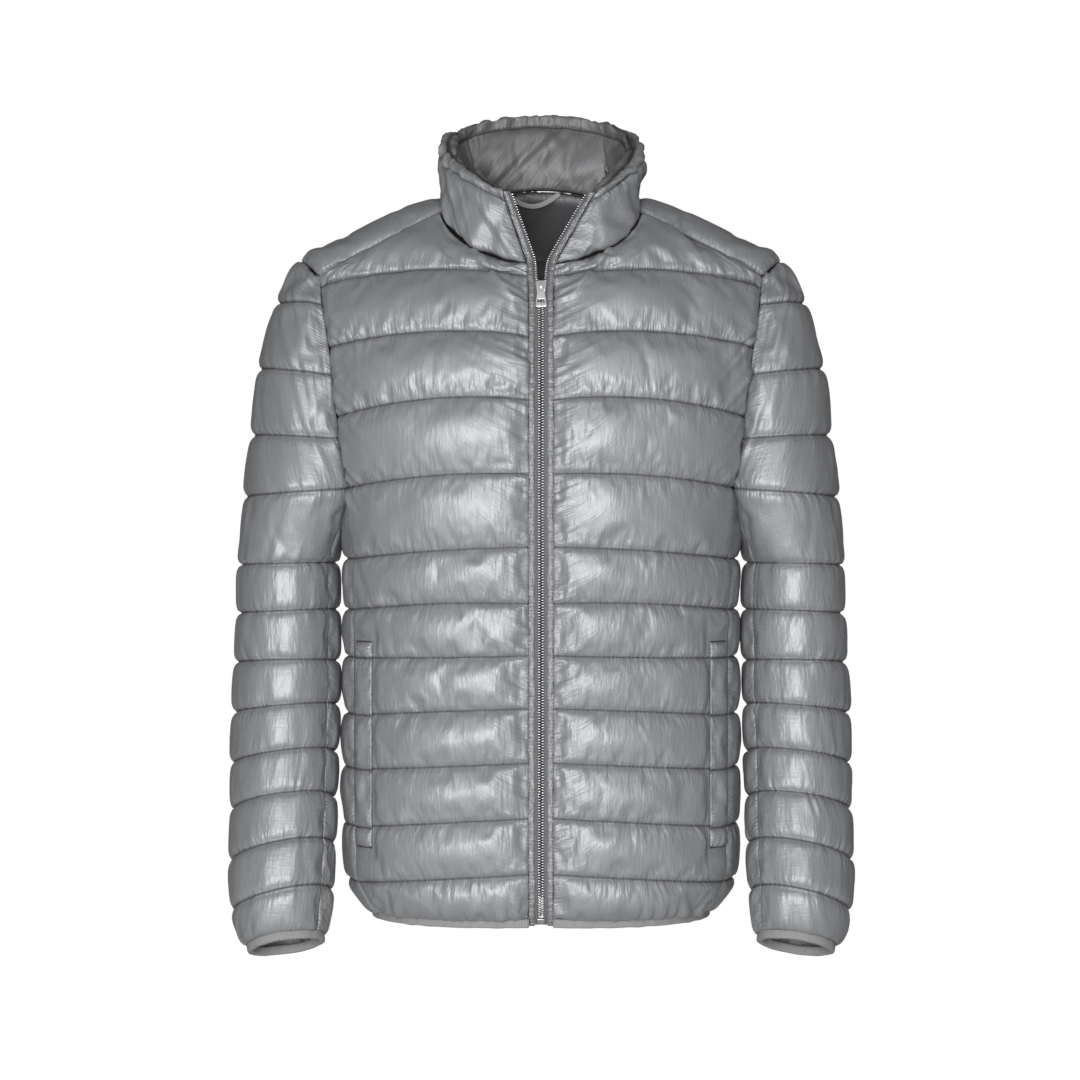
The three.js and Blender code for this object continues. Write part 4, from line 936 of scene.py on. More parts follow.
def under_welt(panel):
    """1 where the pocket welt lies on the front."""
    z = panel.base[..., 2]
    beside = smooth_step(WELT["inner"] - 7, WELT["inner"] - 1, np.abs(panel.base[..., 0]))
    along = smooth_step(WELT["bottom"] - 16, WELT["bottom"] - 2, z)
    return beside * along * (1 - smooth_step(WELT["top"] + 2, WELT["top"] + 16, z))


def held_by_welt(panel):
    return under_welt(panel) > 0.95


def squeezed_top(panel):
    """Sleeve and body press together just below the underarm."""
    first = panel.block[:, None] == 0
    return np.where(first, 0.7, 0.0) * np.ones(panel.u.shape)


def yoke_crossings(panel):
    x = np.abs(panel.base[..., 0])
    near = np.min([np.abs(x - line) for line in YOKE_STITCHES], axis=0)
    return 0.4 * (1 - smooth_step(0, 9, near))


def collar_layer(inward, sign):
    """The surface of one layer of the collar; its rim rolls over to meet the other layer's."""

    def at(u, v):
        u, v = np.broadcast_arrays(np.asarray(u, float), np.asarray(v, float))
        down = np.where(v < 1, v * COLLAR_STITCH, lerp(COLLAR_STITCH, 1, v - 1))
        tall = np.linalg.norm(rim_at(u) - neck_at(u), axis=-1)
        t = np.clip(down * tall / COLLAR_ROLL, 0, 1)
        roll = (COLLAR_THICK / 2 - SEAM_GAP / 2) * (1 - np.sqrt(1 - (1 - t) ** 2))
        return collar_point(u, down, inward + sign * roll)

    return at


def collar_core(sign):
    def core(p, v):
        middle = np.array([4.0, -10.0, 0.0])
        away = np.array([p[..., 0] - middle[0], p[..., 1] - middle[1], 0 * p[..., 0]])
        return p - sign * np.moveaxis(away, 0, -1)

    return core


def collar_folds(cloth, panel):
    """Slanting folds, and upright ones where the collar turns towards the front."""
    a = cloth.across + cloth.down * 0.5
    folds = ripple(a / 11, cloth.down / 60 + cloth.block * 5, panel.seed + 30) * 2.0
    folds += ripple((cloth.across - cloth.down * 0.7) / 19, cloth.down / 40, panel.seed + 31) * 1.8
    turn = np.exp(-(((cloth.to_side - 95) / 45) ** 2))
    folds += ripple((cloth.across + cloth.down * 0.2) / 6.0, cloth.down / 50, panel.seed + 35) * 1.7 * turn
    return folds * cloth.loose


def sleeve_folds(cloth, panel):
    """Upright folds beside the armhole, and gathers at the cuff."""
    last = cloth.block >= panel.block.max() - 0.1
    near = smooth_step(0.1, 0.8, cloth.share)
    gathers = np.where(last, creased(ripple(cloth.across / 12, 0.5, panel.seed + 32)) * near * 1.8, 0)
    cap = cloth.block < CAP_LINES - 0.1
    beside = ripple(cloth.to_side / 6.5 + cloth.down / 50, cloth.down / 60, panel.seed + 33)
    beside = beside * np.exp(-((cloth.to_side / 30) ** 2)) * smooth_step(2, 8, cloth.to_side) * 2.6
    upright = ripple(cloth.across / 8.5, cloth.down / 45 + cloth.block * 3.3, panel.seed + 34) * 0.7
    pinch = np.exp(-(((cloth.to_side - 135) / 9) ** 2)) * np.exp(-cloth.to_line / 12)
    return gathers * smooth_step(0, 6, cloth.to_line) + np.where(cap, beside, 0) + upright - 2.0 * pinch


WELT_LINES = [WELT["top"]] + [row["edge"] for row in FRONT_LINES[6:10]] + [WELT["bottom"]]


def welt_point(u, v):
    u, v = np.broadcast_arrays(np.asarray(u, float), np.asarray(v, float))
    z = np.interp(v, np.arange(len(WELT_LINES)), WELT_LINES)
    p = body_point(-lerp(WELT["inner"], WELT["outer"], u), z, FRONT)
    return p + body_normal(p) * (LIFT + WELT["gap"] + 1.0)


panels = []
for side_name, mirror in (("left", False), ("right", True)):
    panels += [
        Panel(f"front_{side_name}", front_point, body_core, FRONT_BLOCKS, mirror=mirror,
              folds=front_folds, flat=under_welt, stiff=held_by_welt, soft_start=True,
              down_step=FRONT_DOWN_STEP),
        Panel(f"side_{side_name}", side_point, body_core, FRONT_BLOCKS, first=UNDERARM_LINE,
              puff=SIDE_PUFF, mirror=mirror, folds=hem_gathers, flat=squeezed_top),
        Panel(f"yoke_{side_name}", yoke_point, body_core, 1, puff=YOKE_PUFF, lines=[-1, 1],
              mirror=mirror, flat=yoke_crossings),
        Panel(f"sleeve_{side_name}", sleeve_point, sleeve_core, SLEEVE_BLOCKS, mirror=mirror,
              folds=sleeve_folds, fullness=SLEEVE_FULLNESS),
        Panel(f"undersleeve_{side_name}", under_point, sleeve_core, SLEEVE_BLOCKS, first=CAP_LINES,
              puff=SIDE_PUFF, mirror=mirror, flat=squeezed_top),
        Panel(f"pocket_welt_{side_name}", welt_point, body_core, len(WELT_LINES) - 1,
              puff=WELT["puff"], wall=1.0, mirror=mirror, lift=0),
    ]
panels.append(Panel("back", back_point, body_core, BACK_BLOCKS, folds=hem_gathers))
panels.append(Panel("collar_outer", collar_layer(0, 1), collar_core(1), 2, puff=COLLAR_PUFF,
                    wall=COLLAR_LAYER, folds=collar_folds, lift=0))
panels.append(Panel("collar_inner", collar_layer(COLLAR_THICK, -1), collar_core(-1), 2,
                    puff=COLLAR_PUFF, wall=COLLAR_LAYER, folds=collar_folds, lift=0))

for panel in panels:
    panel.add_simulation()
for number in range(1, CLOTH_FRAMES + 1):
    bpy.context.scene.frame_set(number)
for panel in panels:
    panel.apply_simulation()
bpy.context.scene.frame_set(1)
for panel in panels:
    panel.finish()


# Zip, bindings and the loop inside the neck


def merged(mesh, cap):
    """Joins the edges of a mesh that meet, closes its ends and turns its faces outwards."""
    bm = bmesh.new()
    bm.from_mesh(mesh)
    bmesh.ops.remove_doubles(bm, verts=bm.verts, dist=1e-6)
    if cap:
        bmesh.ops.holes_fill(bm, edges=[edge for edge in bm.edges if edge.is_boundary], sides=0)
    bmesh.ops.recalc_face_normals(bm, faces=bm.faces)
    bm.to_mesh(mesh)
    bm.free()
    return mesh


def swept(name, sections, ring=False):
    """A closed form through an array of sections: its rows run along it, its columns round it."""
    sections = np.concatenate([sections, sections[:, :1]], axis=1)
    if ring:
        sections = np.concatenate([sections, sections[:1]])
    along = lengths(sections.mean(axis=1))[:, None] + np.zeros(sections.shape[:2])
    around = np.cumsum(np.linalg.norm(np.diff(sections, axis=1), axis=-1), axis=1)
    mesh = grid_mesh(name, sections, False)
    set_attribute(mesh, "across", along)
    set_attribute(mesh, "down", np.pad(around, ((0, 0), (1, 0))))
    return new_object(name, merged(mesh, cap=not ring))


def rounded_section(low, high, radius, steps=3):
    """Points round a rectangle with rounded corners, from its low corner to its high one."""
    (x0, y0), (x1, y1) = low, high
    corners = [(x1, y0, -90), (x1, y1, 0), (x0, y1, 90), (x0, y0, 180)]
    found = []
    for x, y, start in corners:
        cx, cy = x - radius * np.sign(x - x0 or -1), y - radius * np.sign(y - y0 or -1)
        for angle in np.radians(np.linspace(start, start + 90, steps)):
            found.append((cx + radius * math.cos(angle), cy + radius * math.sin(angle)))
    return np.array(found)


def sections_at(places, first, second, outline):
    """The outline, drawn at each place with its two axes along the given directions."""
    outline = np.broadcast_to(outline, (len(places), *outline.shape[-2:]))
    return (
        places[:, None]
        + first[:, None] * outline[..., 0:1]
        + second[:, None] * outline[..., 1:2]
    )


def zip_path(side):
    """Places along a front's edge, from the hem up to the rim, with the two directions there."""
    closed = np.linspace(TAPE_BOTTOM_Z, SLIDER_Z, ZIP_STEPS["closed"])
    opened = np.linspace(SLIDER_Z, NECK_FRONT_Z - 3, ZIP_STEPS["opened"])[1:]
    downs = np.linspace(0.97, 0.03, ZIP_STEPS["collar"])
    parts = [zip_on_body(closed, side), zip_on_body(opened, side), zip_on_collar(downs, side)]
    found = [np.vstack([part[i] for part in parts]) for i in range(3)]
    before, bend, after = (slice(ZIP_BEND["first"] + i, ZIP_BEND["last"] + i) for i in (-1, 0, 1))
    for values in found:
        for _ in range(ZIP_BEND["rounds"]):
            values[bend] = (values[before] + values[bend] * 2 + values[after]) / 4
    places, into, out = found
    return places, unit(into), unit(out), np.clip((places[:, 2] - SLIDER_Z + 6) / 14, 0, 1)


ZIP_PATHS = {side: zip_path(side) for side in (-1, 1)}


def make_zip_strip(name, side, low, high, radius, opened_shift=0.0, pucker=0.0):
    places, into, out, opening = ZIP_PATHS[side]
    outline = rounded_section(low, high, radius)
    outline = np.broadcast_to(outline, (len(places), *outline.shape)).copy()
    seed = side + 50
    along = lengths(places)
    for index, raised in enumerate(rounded_section(low, high, radius)):
        if raised[1] > (low[1] + high[1]) / 2:
            outline[:, index, 1] += pucker * ripple(along / 3.4, raised[0] / 3 + 0.5, seed)
            outline[:, index, 0] += pucker * 0.5 * ripple(along / 11, 7.5, seed)
    outline[..., 0] -= (opening * opened_shift)[:, None] * (outline[..., 0] > np.mean((low[0], high[0])))
    strip = swept(name, sections_at(places, into, out, outline))
    # to_line set to SEAM_SHADE keeps the painted seam shade off this strip.
    set_attribute(strip.data, "to_line", np.full(len(strip.data.vertices), SEAM_SHADE))
    return strip


def cube_matrix(axes, middle):
    """What turns a unit cube into a block with the given sides and middle, in millimetres."""
    size = np.stack(axes, 1) * MM
    return Matrix([[*size[i], middle[i] * MM] for i in range(3)] + [[0, 0, 0, 1]])


def bevel(bm, edges, offset, segments):
    bmesh.ops.bevel(
        bm, geom=edges, offset=offset, segments=segments, affect="EDGES", profile=0.5, material=-1,
    )


def bevelled(bm, offset, segments=2):
    edges = [edge for edge in bm.edges if edge.is_manifold and edge.calc_face_angle() > 0.5]
    bevel(bm, edges, offset, segments)


def make_teeth(name, side, upper):
    """Bevelled teeth up one edge: those below the slider mesh with the other side's."""
    places, into, out, opening = ZIP_PATHS[side]
    along = lengths(places)
    shares = np.arange(4 + (TOOTH_PITCH / 2 if side > 0 else 0), along[-1] - 2, TOOTH_PITCH)
    rows = [interpolated(shares, along, values) for values in (places, into, out)]
    opened = np.interp(shares, along, opening)
    bm = bmesh.new()
    for place, across, normal, share in zip(*rows, opened):
        if (place[2] > SLIDER_Z - 4) != upper or (not upper and place[2] < CHAIN_BOTTOM_Z + 2):
            continue
        across, normal = unit(across), unit(normal)
        middle = place + across * lerp(10.0, 8.1, share)
        matrix = cube_matrix([across * 3.5, normal * 2.2, np.cross(across, normal) * 1.25], middle)
        bmesh.ops.create_cube(bm, size=1, matrix=matrix)
    bmesh.ops.recalc_face_normals(bm, faces=bm.faces)
    bevel(bm, bm.edges[:], 0.3 * MM, segments=1)
    return new_object(name, mesh_from(bm, name))


slider_place, _, slider_out = (value[0] for value in zip_on_body(np.array([float(SLIDER_Z)]), 1))
slider_place = slider_place * np.array([0, 1, 1])
slider_down = np.cross([1, 0, 0], slider_out)


def on_slider(x, out, down):
    """A point of the slider's own frame, in metres."""
    return Vector((slider_place + np.array([x, 0, 0]) + slider_out * out + slider_down * down) * MM)


def plate(bm, outline, low, high):
    """A plate with a straight-sided outline of (x, down) points, from low to high outwards."""
    circle = bmesh.ops.create_circle(bm, cap_ends=True, segments=len(outline), radius=1)
    verts = circle["verts"]
    for vert, (x, down) in zip(verts, outline):
        vert.co = on_slider(x, low, down)
    face = verts[0].link_faces[0]
    raised = bmesh.ops.extrude_face_region(bm, geom=[face])
    for vert in raised["geom"]:
        if isinstance(vert, bmesh.types.BMVert):
            vert.co += on_slider(0, high, 0) - on_slider(0, low, 0)


def slider_outline(width):
    """Wide where the two rows of teeth come in, narrow where they leave as one."""
    shape = [(0.84, -6.5), (1, -5.0), (1, -2.2), (0.82, 2), (0.76, 5.8), (0.6, 6.5)]
    right = [(width / 2 * share, down) for share, down in shape]
    return right + [(-x, down) for x, down in right[::-1]]


def make_slider():
    bm = bmesh.new()
    front = SLIDER_FACE + SLIDER["plate"]
    plate(bm, slider_outline(SLIDER["front"]), SLIDER_FACE + 0.2, front)
    plate(bm, slider_outline(SLIDER["back"]), -front, -SLIDER_FACE)
    post = SLIDER["post"] / 2
    wedge = [(post, -6), (post, -3.5), (0.3, -1.5)]
    wedge += [(-x, down) for x, down in wedge[::-1]]
    plate(bm, wedge, -SLIDER_FACE - 0.4, SLIDER_FACE + 0.5)
    edge = SLIDER["front"] / 2
    flange = [(edge * 0.97, -2.6), (edge * 0.78, 1.5), (edge * 0.74, 5.5)]
    flange += [(x - 0.9, down) for x, down in flange[::-1]]
    for side in (-1, 1):
        plate(bm, [(side * x, down) for x, down in flange], 0.4, SLIDER_FACE + 0.6)
    bmesh.ops.recalc_face_normals(bm, faces=bm.faces)
    bevelled(bm, 0.35 * MM)
    return new_object("zip_slider_body", mesh_from(bm, "zip_slider_body"))


def make_bridge():
    """The arch over the slider's front plate that the pull hangs on."""
    foot = SLIDER_FACE + SLIDER["plate"] + 0.05
    middle = (ARCH["inner"] + ARCH["outer"]) / 2
    turns = np.linspace(0, math.pi, 13)
    arch = [(middle * math.cos(t), HINGE_OUT + middle * math.sin(t)) for t in turns]
    path = np.array([(middle, foot), *arch, (-middle, foot)])
    ahead = unit(np.gradient(path, axis=0))
    across = np.stack([ahead[:, 1], -ahead[:, 0]], -1)
    half_thick = (ARCH["outer"] - ARCH["inner"]) / 2
    outline = rounded_section((-ARCH["width"] / 2, -half_thick), (ARCH["width"] / 2, half_thick), 0.35)
    sections = []
    for spot, side in zip(path, across):
        places = [(x, *(spot + side * y)) for x, y in outline]
        sections.append([list(on_slider(x, out, down + ARCH["down"])) for x, down, out in places])
    return swept("zip_bridge_arch", np.array(sections) / MM)


def make_pull():
    lean = math.radians(PULL["lean"])
    bm = bmesh.new()
    bmesh.ops.create_grid(bm, x_segments=3, y_segments=len(PULL_ROWS) - 1, size=1)
    bm.verts.ensure_lookup_table()
    thick = PULL["thick"] / 2

    def place(x, down, out):
        return on_slider(
            x,
            HINGE_OUT - down * math.sin(lean) + out * math.cos(lean),
            ARCH["down"] + down * math.cos(lean) + out * math.sin(lean),
        )

    for index, vert in enumerate(bm.verts):
        row = PULL_ROWS[index // 4]
        x = (-row["half"], -row["hole"], row["hole"], row["half"])[index % 4]
        vert.co = place(x, row["down"], -thick)
    bm.faces.ensure_lookup_table()
    bmesh.ops.delete(bm, geom=[bm.faces[3 * row + 1] for row in PULL_OPEN_ROWS], context="FACES")
    raised = bmesh.ops.extrude_face_region(bm, geom=bm.faces[:])
    step = place(0, 0, thick) - place(0, 0, -thick)
    for vert in raised["geom"]:
        if isinstance(vert, bmesh.types.BMVert):
            vert.co += step
    bmesh.ops.recalc_face_normals(bm, faces=bm.faces)
    bevelled(bm, 0.3 * MM)
    return new_object("zip_pull_plate", mesh_from(bm, "zip_pull_plate"))


def make_box():
    bm = bmesh.new()
    places, _, out = zip_on_body(np.array([-707.8]), 1)
    z_axis = np.cross([1, 0, 0], out[0])
    middle = places[0] * np.array([0, 1, 1])
    matrix = cube_matrix([np.array([7.6, 0, 0]), out[0] * 3.2, z_axis * 7], middle)
    bmesh.ops.create_cube(bm, size=1, matrix=matrix)
    bevelled(bm, 0.8 * MM, segments=3)
    return new_object("zip_end_box", mesh_from(bm, "zip_end_box"))


def resampled(line, step):
    """The line, with its points about a step apart."""
    count = max(3, round(lengths(line)[-1] / step) + 1)
    return by_length(line)(np.linspace(0, 1, count))


def elastic(name, places, down, out, seed, ring):
    """A narrow elastic binding that gathers the cloth it holds."""
    outline = rounded_section((-1.8, 1 - BINDING_THICK), (BINDING_HEIGHT, LIFT + 0.4), 1.8)
    outline = np.broadcast_to(outline, (len(places), *outline.shape)).copy()
    along = lengths(places)
    share = along / along[-1]
    fade = np.minimum(1, np.minimum(share, 1 - share) * 30) if ring else 1.0
    outline[..., 0] += (ripple(along / 10, 0.5, seed) * fade * 0.5)[:, None]
    outline[..., 1] += (ripple(along / 7, 3.5, seed) * fade * 0.45)[:, None]
    return swept(name, sections_at(places, down, out, outline), ring)


def make_hem():
    shares = np.linspace(0, 1, 60)
    left = np.vstack([front_point(shares, FRONT_BLOCKS), side_point(shares, FRONT_BLOCKS)[1:]])
    line = np.vstack([left, back_point(shares, BACK_BLOCKS)[1:-1], left[::-1] * MIRROR])
    line = resampled(line, 2.6)
    out = unit(body_normal(line) * np.array([1, 1, 0]))
    down = np.broadcast_to(point(0, 0, -1), line.shape)
    return elastic("hem_elastic", line - np.array([0, 0, 0.2]), down, out, 61, ring=False)


def make_cuff(name, mirror):
    centre, across, deep = (column[SLEEVE_BLOCKS] for column in sleeve_table[:3])
    turns = np.linspace(0, 2 * math.pi, 109)[:-1, None]
    places = centre + across * np.cos(turns) + deep * np.sin(turns)
    down = unit(np.cross(deep, across))
    down = down * -np.sign(down[2])
    along = across * -np.sin(turns) + deep * np.cos(turns)
    out = unit(np.cross(along, down))
    out = out * np.sign(np.sum(out * (places - centre), -1, keepdims=True))
    places = places + down * 0.1
    scale = MIRROR if mirror else np.ones(3)
    down = np.broadcast_to(down * scale, places.shape)
    return elastic(name, places * scale, down, out * scale, 62 + mirror, ring=True)


def make_loop():
    share = np.linspace(0, 1, 41)
    x = lerp(LOOP["left"], LOOP["right"], share)
    hang = np.sin(math.pi * share)
    neck = body_point(x, back_top(x), BACK)
    places = neck - point(0, 9.1 + LOOP["forward"] * hang, 2.35 + LOOP["sag"] * hang)
    along = unit(np.gradient(places, axis=0))
    out = np.broadcast_to(point(0, -1, 0), places.shape)
    flat = unit(np.cross(along, out))
    half = LOOP["width"] / 2
    outline = rounded_section((-half, 0), (half, LOOP["thick"]), 0.5)
    return swept("neck_loop", sections_at(places, flat, out, outline))


# Stitches


def make_stitches(name, lines):
    """Short threads along lines, each of which is its points and the outward direction there."""
    bm = bmesh.new()
    bmesh.ops.create_uvsphere(bm, u_segments=4, v_segments=3, radius=0.5)
    bm.verts.ensure_lookup_table()
    shape = np.array([vert.co for vert in bm.verts])
    corners = [[vert.index for vert in face.verts] for face in bm.faces]
    bm.free()
    places = []
    for points, normals in lines:
        along = lengths(points)
        at = np.arange(STITCH_PITCH / 2, along[-1], STITCH_PITCH)
        ahead = unit(np.gradient(points, axis=0))
        middles, normals, ahead = (interpolated(at, along, values) for values in (points, normals, ahead))
        normals, ahead = unit(normals), unit(ahead)
        beside = unit(np.cross(normals, ahead))
        axes = [beside * STITCH["thick"], normals * STITCH["thick"], ahead * STITCH["length"]]
        threads = sum(axis[:, None] * shape[:, i, None] for i, axis in enumerate(axes))
        places.append((middles[:, None] + threads).reshape(-1, 3))
    places = np.vstack(places) * MM
    count = len(places) // len(shape)
    faces = [[i + k * len(shape) for i in face] for k in range(count) for face in corners]
    mesh = bpy.data.meshes.new(name)
    mesh.from_pydata(places.tolist(), [], faces)
    shade_smooth(mesh)
    return new_object(name, merged(mesh, cap=False))


def quilt_stitches(panel):
    lines = []
    for row in panel.line_rows[1:-1]:
        keep = ~panel.stiff[row]
        keep[[0, -1]] = False
        normals = panel.normal[row][keep]
        lines.append((panel.base[row][keep] - normals * STITCH["sunk"], normals))
    return lines


def welt_stitches(mirror):
    scale = MIRROR if mirror else np.ones(3)
    v = np.linspace(0.06, len(WELT_LINES) - 1.06, 80)
    points = welt_point(np.full(80, 0.1), v)
    normals = body_normal(points)
    lines = [((points + normals * 0.8) * scale, normals * scale)]
    for end in (0.05, len(WELT_LINES) - 1.05):
        points = welt_point(np.linspace(0.1, 0.9, 12), np.full(12, end))
        normals = body_normal(points)
        lines.append(((points + normals * 0.6) * scale, normals * scale))
    return lines


def yoke_stitches(mirror):
    scale = MIRROR if mirror else np.ones(3)
    lines = []
    for x in YOKE_STITCHES:
        across = (x - NECK_FRONT_X) / (SHOULDER_TIP_X - NECK_FRONT_X)
        points = yoke_point(np.full(20, across), np.linspace(-0.93, 0.93, 20))
        normals = body_normal(points)
        lines.append(((points + normals * 0.8) * scale, normals * scale))
    return lines


def zip_stitches(side):
    places, into, out, _ = ZIP_PATHS[side]
    return [(places + into * at + out * 1.8, out) for at in (1.0, 4.3)]


# Materials


class Value:
    """A shader node's output that can be calculated with."""

    def __init__(self, material, socket):
        self.material = material
        self.socket = socket

    def maths(self, operation, *inputs):
        return self.material.node("ShaderNodeMath", dict(operation=operation), dict(enumerate(inputs)))

    def sine(self):
        return self.maths("SINE", self)

    def at_least(self, low):
        return self.maths("MAXIMUM", self, low)

    def __add__(self, other):
        return self.maths("ADD", self, other)

    def __sub__(self, other):
        return self.maths("SUBTRACT", self, other)

    def __rsub__(self, other):
        return self.maths("SUBTRACT", other, self)

    def __mul__(self, other):
        return self.maths("MULTIPLY", self, other)

    def __truediv__(self, other):
        return self.maths("DIVIDE", self, other)

    def __rtruediv__(self, other):
        return self.maths("DIVIDE", other, self)

    __radd__ = __add__
    __rmul__ = __mul__


class Material:
    """A material with one Principled shader."""

    def __init__(self, name, **constants):
        self.data = bpy.data.materials.new(name)
        self.data.use_nodes = True
        self.tree = self.data.node_tree
        self.shader = self.tree.nodes["Principled BSDF"]
        self.set(**constants)

    def set(self, **inputs):
        for key, value in inputs.items():
            self.connect(self.shader, key.replace("_", " ").title(), value)

    def connect(self, node, key, value):
        if isinstance(value, Value):
            self.tree.links.new(value.socket, node.inputs[key])
        else:
            node.inputs[key].default_value = value

    def node(self, kind, settings, inputs, output=0):
        node = self.tree.nodes.new(kind)
        for key, value in settings.items():
            setattr(node, key, value)
        for key, value in inputs.items():
            self.connect(node, key, value)
        return Value(self, node.outputs[output])

    def attribute(self, name):
        return self.node("ShaderNodeAttribute", dict(attribute_name=name), {}, output="Fac")

    def on_cloth(self, across, down, seed=0.0):
        """A place on the cloth for a pattern, one unit per this many millimetres each way."""
        x, y = self.attribute("across") / across, self.attribute("down") / down
        return self.node("ShaderNodeCombineXYZ", {}, dict(X=x, Y=y, Z=seed))

    def noise(self, vector, detail=2.0, scale=1.0):
        inputs = dict(Vector=vector, Scale=scale, Detail=detail, Roughness=0.55)
        return self.node("ShaderNodeTexNoise", {}, inputs)

    def mix(self, factor, a, b):
        """A mix of two colours, each of them another node's or red, green and blue."""
        a, b = (color if isinstance(color, Value) else (*color, 1) for color in (a, b))
        return self.node("ShaderNodeMix", dict(data_type="RGBA"), {0: factor, 6: a, 7: b}, output=2)

    def bump(self, height, distance, strength=1.0):
        inputs = dict(Height=height, Distance=distance, Strength=strength)
        return self.node("ShaderNodeBump", {}, inputs)


def nylon(name, dark, light, roughness):
    """Light downproof nylon: smooth, crisp and creased, with a soft metallic sheen, and with painted shade
    in its colour along the lines of stitches and on the inside faces.
    """
    material = Material(name, metallic=0.35)
    broad = material.noise(material.on_cloth(70, 30, 3.0))
    color = material.mix(broad, dark, light)
    # Painted shade along each line of stitches: within SEAM_SHADE of the line the colour is darkened
    # towards a third of the dark tone, and the same mask roughens the cloth there.
    near = SEAM_SHADE - material.attribute("to_line")
    sewn = near.at_least(0.0) * 0.45
    color = material.mix(sewn, color, [value * 0.3 for value in dark])
    # Painted shade on the inside faces (attribute inner): their colour is darkened towards a third of the
    # dark tone, for the shade inside the jacket.
    inner = material.attribute("inner") * 0.85
    material.set(base_color=material.mix(inner, color, [value * 0.35 for value in dark]))
    fade = 1 / (1 + material.attribute("to_line") / 6)
    creases = material.noise(material.on_cloth(2.8, 14, 1.0), detail=2.0)
    streaks = material.noise(material.on_cloth(4.5, 40, 2.0), detail=3.0)
    beside = 1 / (1 + material.attribute("to_side") / 6)
    level = material.noise(material.on_cloth(14, 2.3, 6.0), detail=2.0)
    height = creases * fade * 1.4 + streaks * 0.15 + level * beside * 1.3
    material.set(normal=material.bump(height, 0.0016))
    rough = material.noise(material.on_cloth(5, 12, 4.0))
    material.set(roughness=roughness - 0.05 + rough * 0.1 + sewn * 0.3)
    return material


def knit(name, dark, light):
    """Ribbed elastic knit: fine ribs across the binding."""
    material = Material(name, roughness=0.8)
    along = material.attribute("across")
    rib = (along * (2 * math.pi / 1.5)).sine() * 0.5 + 0.5
    uneven = material.noise(material.on_cloth(3, 3))
    material.set(base_color=material.mix(rib * 0.7 + uneven * 0.3, dark, light))
    material.set(normal=material.bump(rib + uneven * 0.4, 0.0003))
    return material


def woven(name, dark, light):
    """Close flat weave of a zip's tape or a narrow band."""
    material = Material(name, roughness=0.75)
    along, around = material.attribute("across"), material.attribute("down")
    rows = (along * (2 * math.pi / 0.9)).sine()
    threads = (around * (2 * math.pi / 0.8)).sine()
    weave = rows * threads * 0.5 + 0.5
    material.set(base_color=material.mix(weave, dark, light))
    material.set(normal=material.bump(weave, 0.0002))
    return material


def plain(name, color, spread, cell, **constants):
    """A hard or thread-like material with slight unevenness, set out in the object's own space."""
    material = Material(name, **constants)
    place = material.node("ShaderNodeTexCoord", {}, {}, output="Object")
    grain = material.noise(place, detail=3.0, scale=1 / cell)
    low = [value * (1 - spread) for value in color]
    high = [value * (1 + spread) for value in color]
    material.set(base_color=material.mix(grain, low, high))
    material.set(roughness=constants["roughness"] - 0.05 + grain * 0.1)
    return material


shell = nylon("nylon_shell", (0.235, 0.24, 0.25), (0.29, 0.295, 0.305), 0.47)
# The collar's inner layer: the shell's nylon, made darker as painted shade for the shade inside the
# collar.
lining_painted_shade = nylon("nylon_lining", (0.13, 0.13, 0.135), (0.17, 0.17, 0.175), 0.55)
binding = knit("elastic_binding", (0.2, 0.197, 0.197), (0.32, 0.316, 0.316))
dark_tape = woven("zip_tape_weave", (0.10, 0.10, 0.105), (0.16, 0.16, 0.165))
band = woven("loop_weave", (0.26, 0.26, 0.27), (0.36, 0.36, 0.37))
teeth_plastic = plain("zip_teeth_gloss", (0.4, 0.4, 0.41), 0.1, 0.002, roughness=0.25, metallic=0.8)
steel = plain("polished_zinc", (0.86, 0.86, 0.87), 0.04, 0.003, roughness=0.3, metallic=0.75)
thread = plain("sewing_thread", (0.06, 0.06, 0.065), 0.1, 0.001, roughness=0.8, metallic=0.0)


# Putting it together


def add(obj, material, replaced=(), body="jacket"):
    obj.data.materials.append(material.data)
    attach(obj, body)
    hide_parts(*replaced)
    return obj


def declare_sheet(obj, width, length, area, held, rests_on):
    flat = (round(width * MM, 3), round(length * MM, 3))
    area = min(area * MM * MM, flat[0] * flat[1])


def panel_cut(panel):
    """Width, length and area of the piece before it was sewn, in millimetres."""
    width, length = panel.across[:, -1].max(), panel.down[-1].max() * CUT_FULLNESS
    rows = np.diff(panel.down, axis=0)
    columns = np.diff(panel.across, axis=1)
    area = np.sum(rows[:, :-1] * columns[:-1]) * CUT_FULLNESS
    return width, length, min(area, width * length)


NEIGHBOURS = dict(
    front="yoke", side="front", sleeve="yoke", undersleeve="sleeve", yoke="collar_outer_cloth",
)
for panel in panels:
    panel.obj.name = panel.name + "_cloth"
    inner_side = panel.name == "collar_inner"
    add(panel.obj, lining_painted_shade if inner_side else shell, [panel.name])
    kind, _, side_name = panel.name.rpartition("_")
    if kind in ("collar", "pocket_welt"):
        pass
    elif panel.name == "back":
        declare_sheet(panel.obj, *panel_cut(panel), "hung", ["yoke_left_cloth", "yoke_right_cloth"])
    else:
        above = NEIGHBOURS[kind]
        rests_on = above if above.startswith("collar") else f"{above}_{side_name}_cloth"
        declare_sheet(panel.obj, *panel_cut(panel), "hung", [rests_on])
    lines = quilt_stitches(panel)
    if lines:
        stitches = make_stitches(panel.name + "_stitches", lines)
        add(stitches, thread)

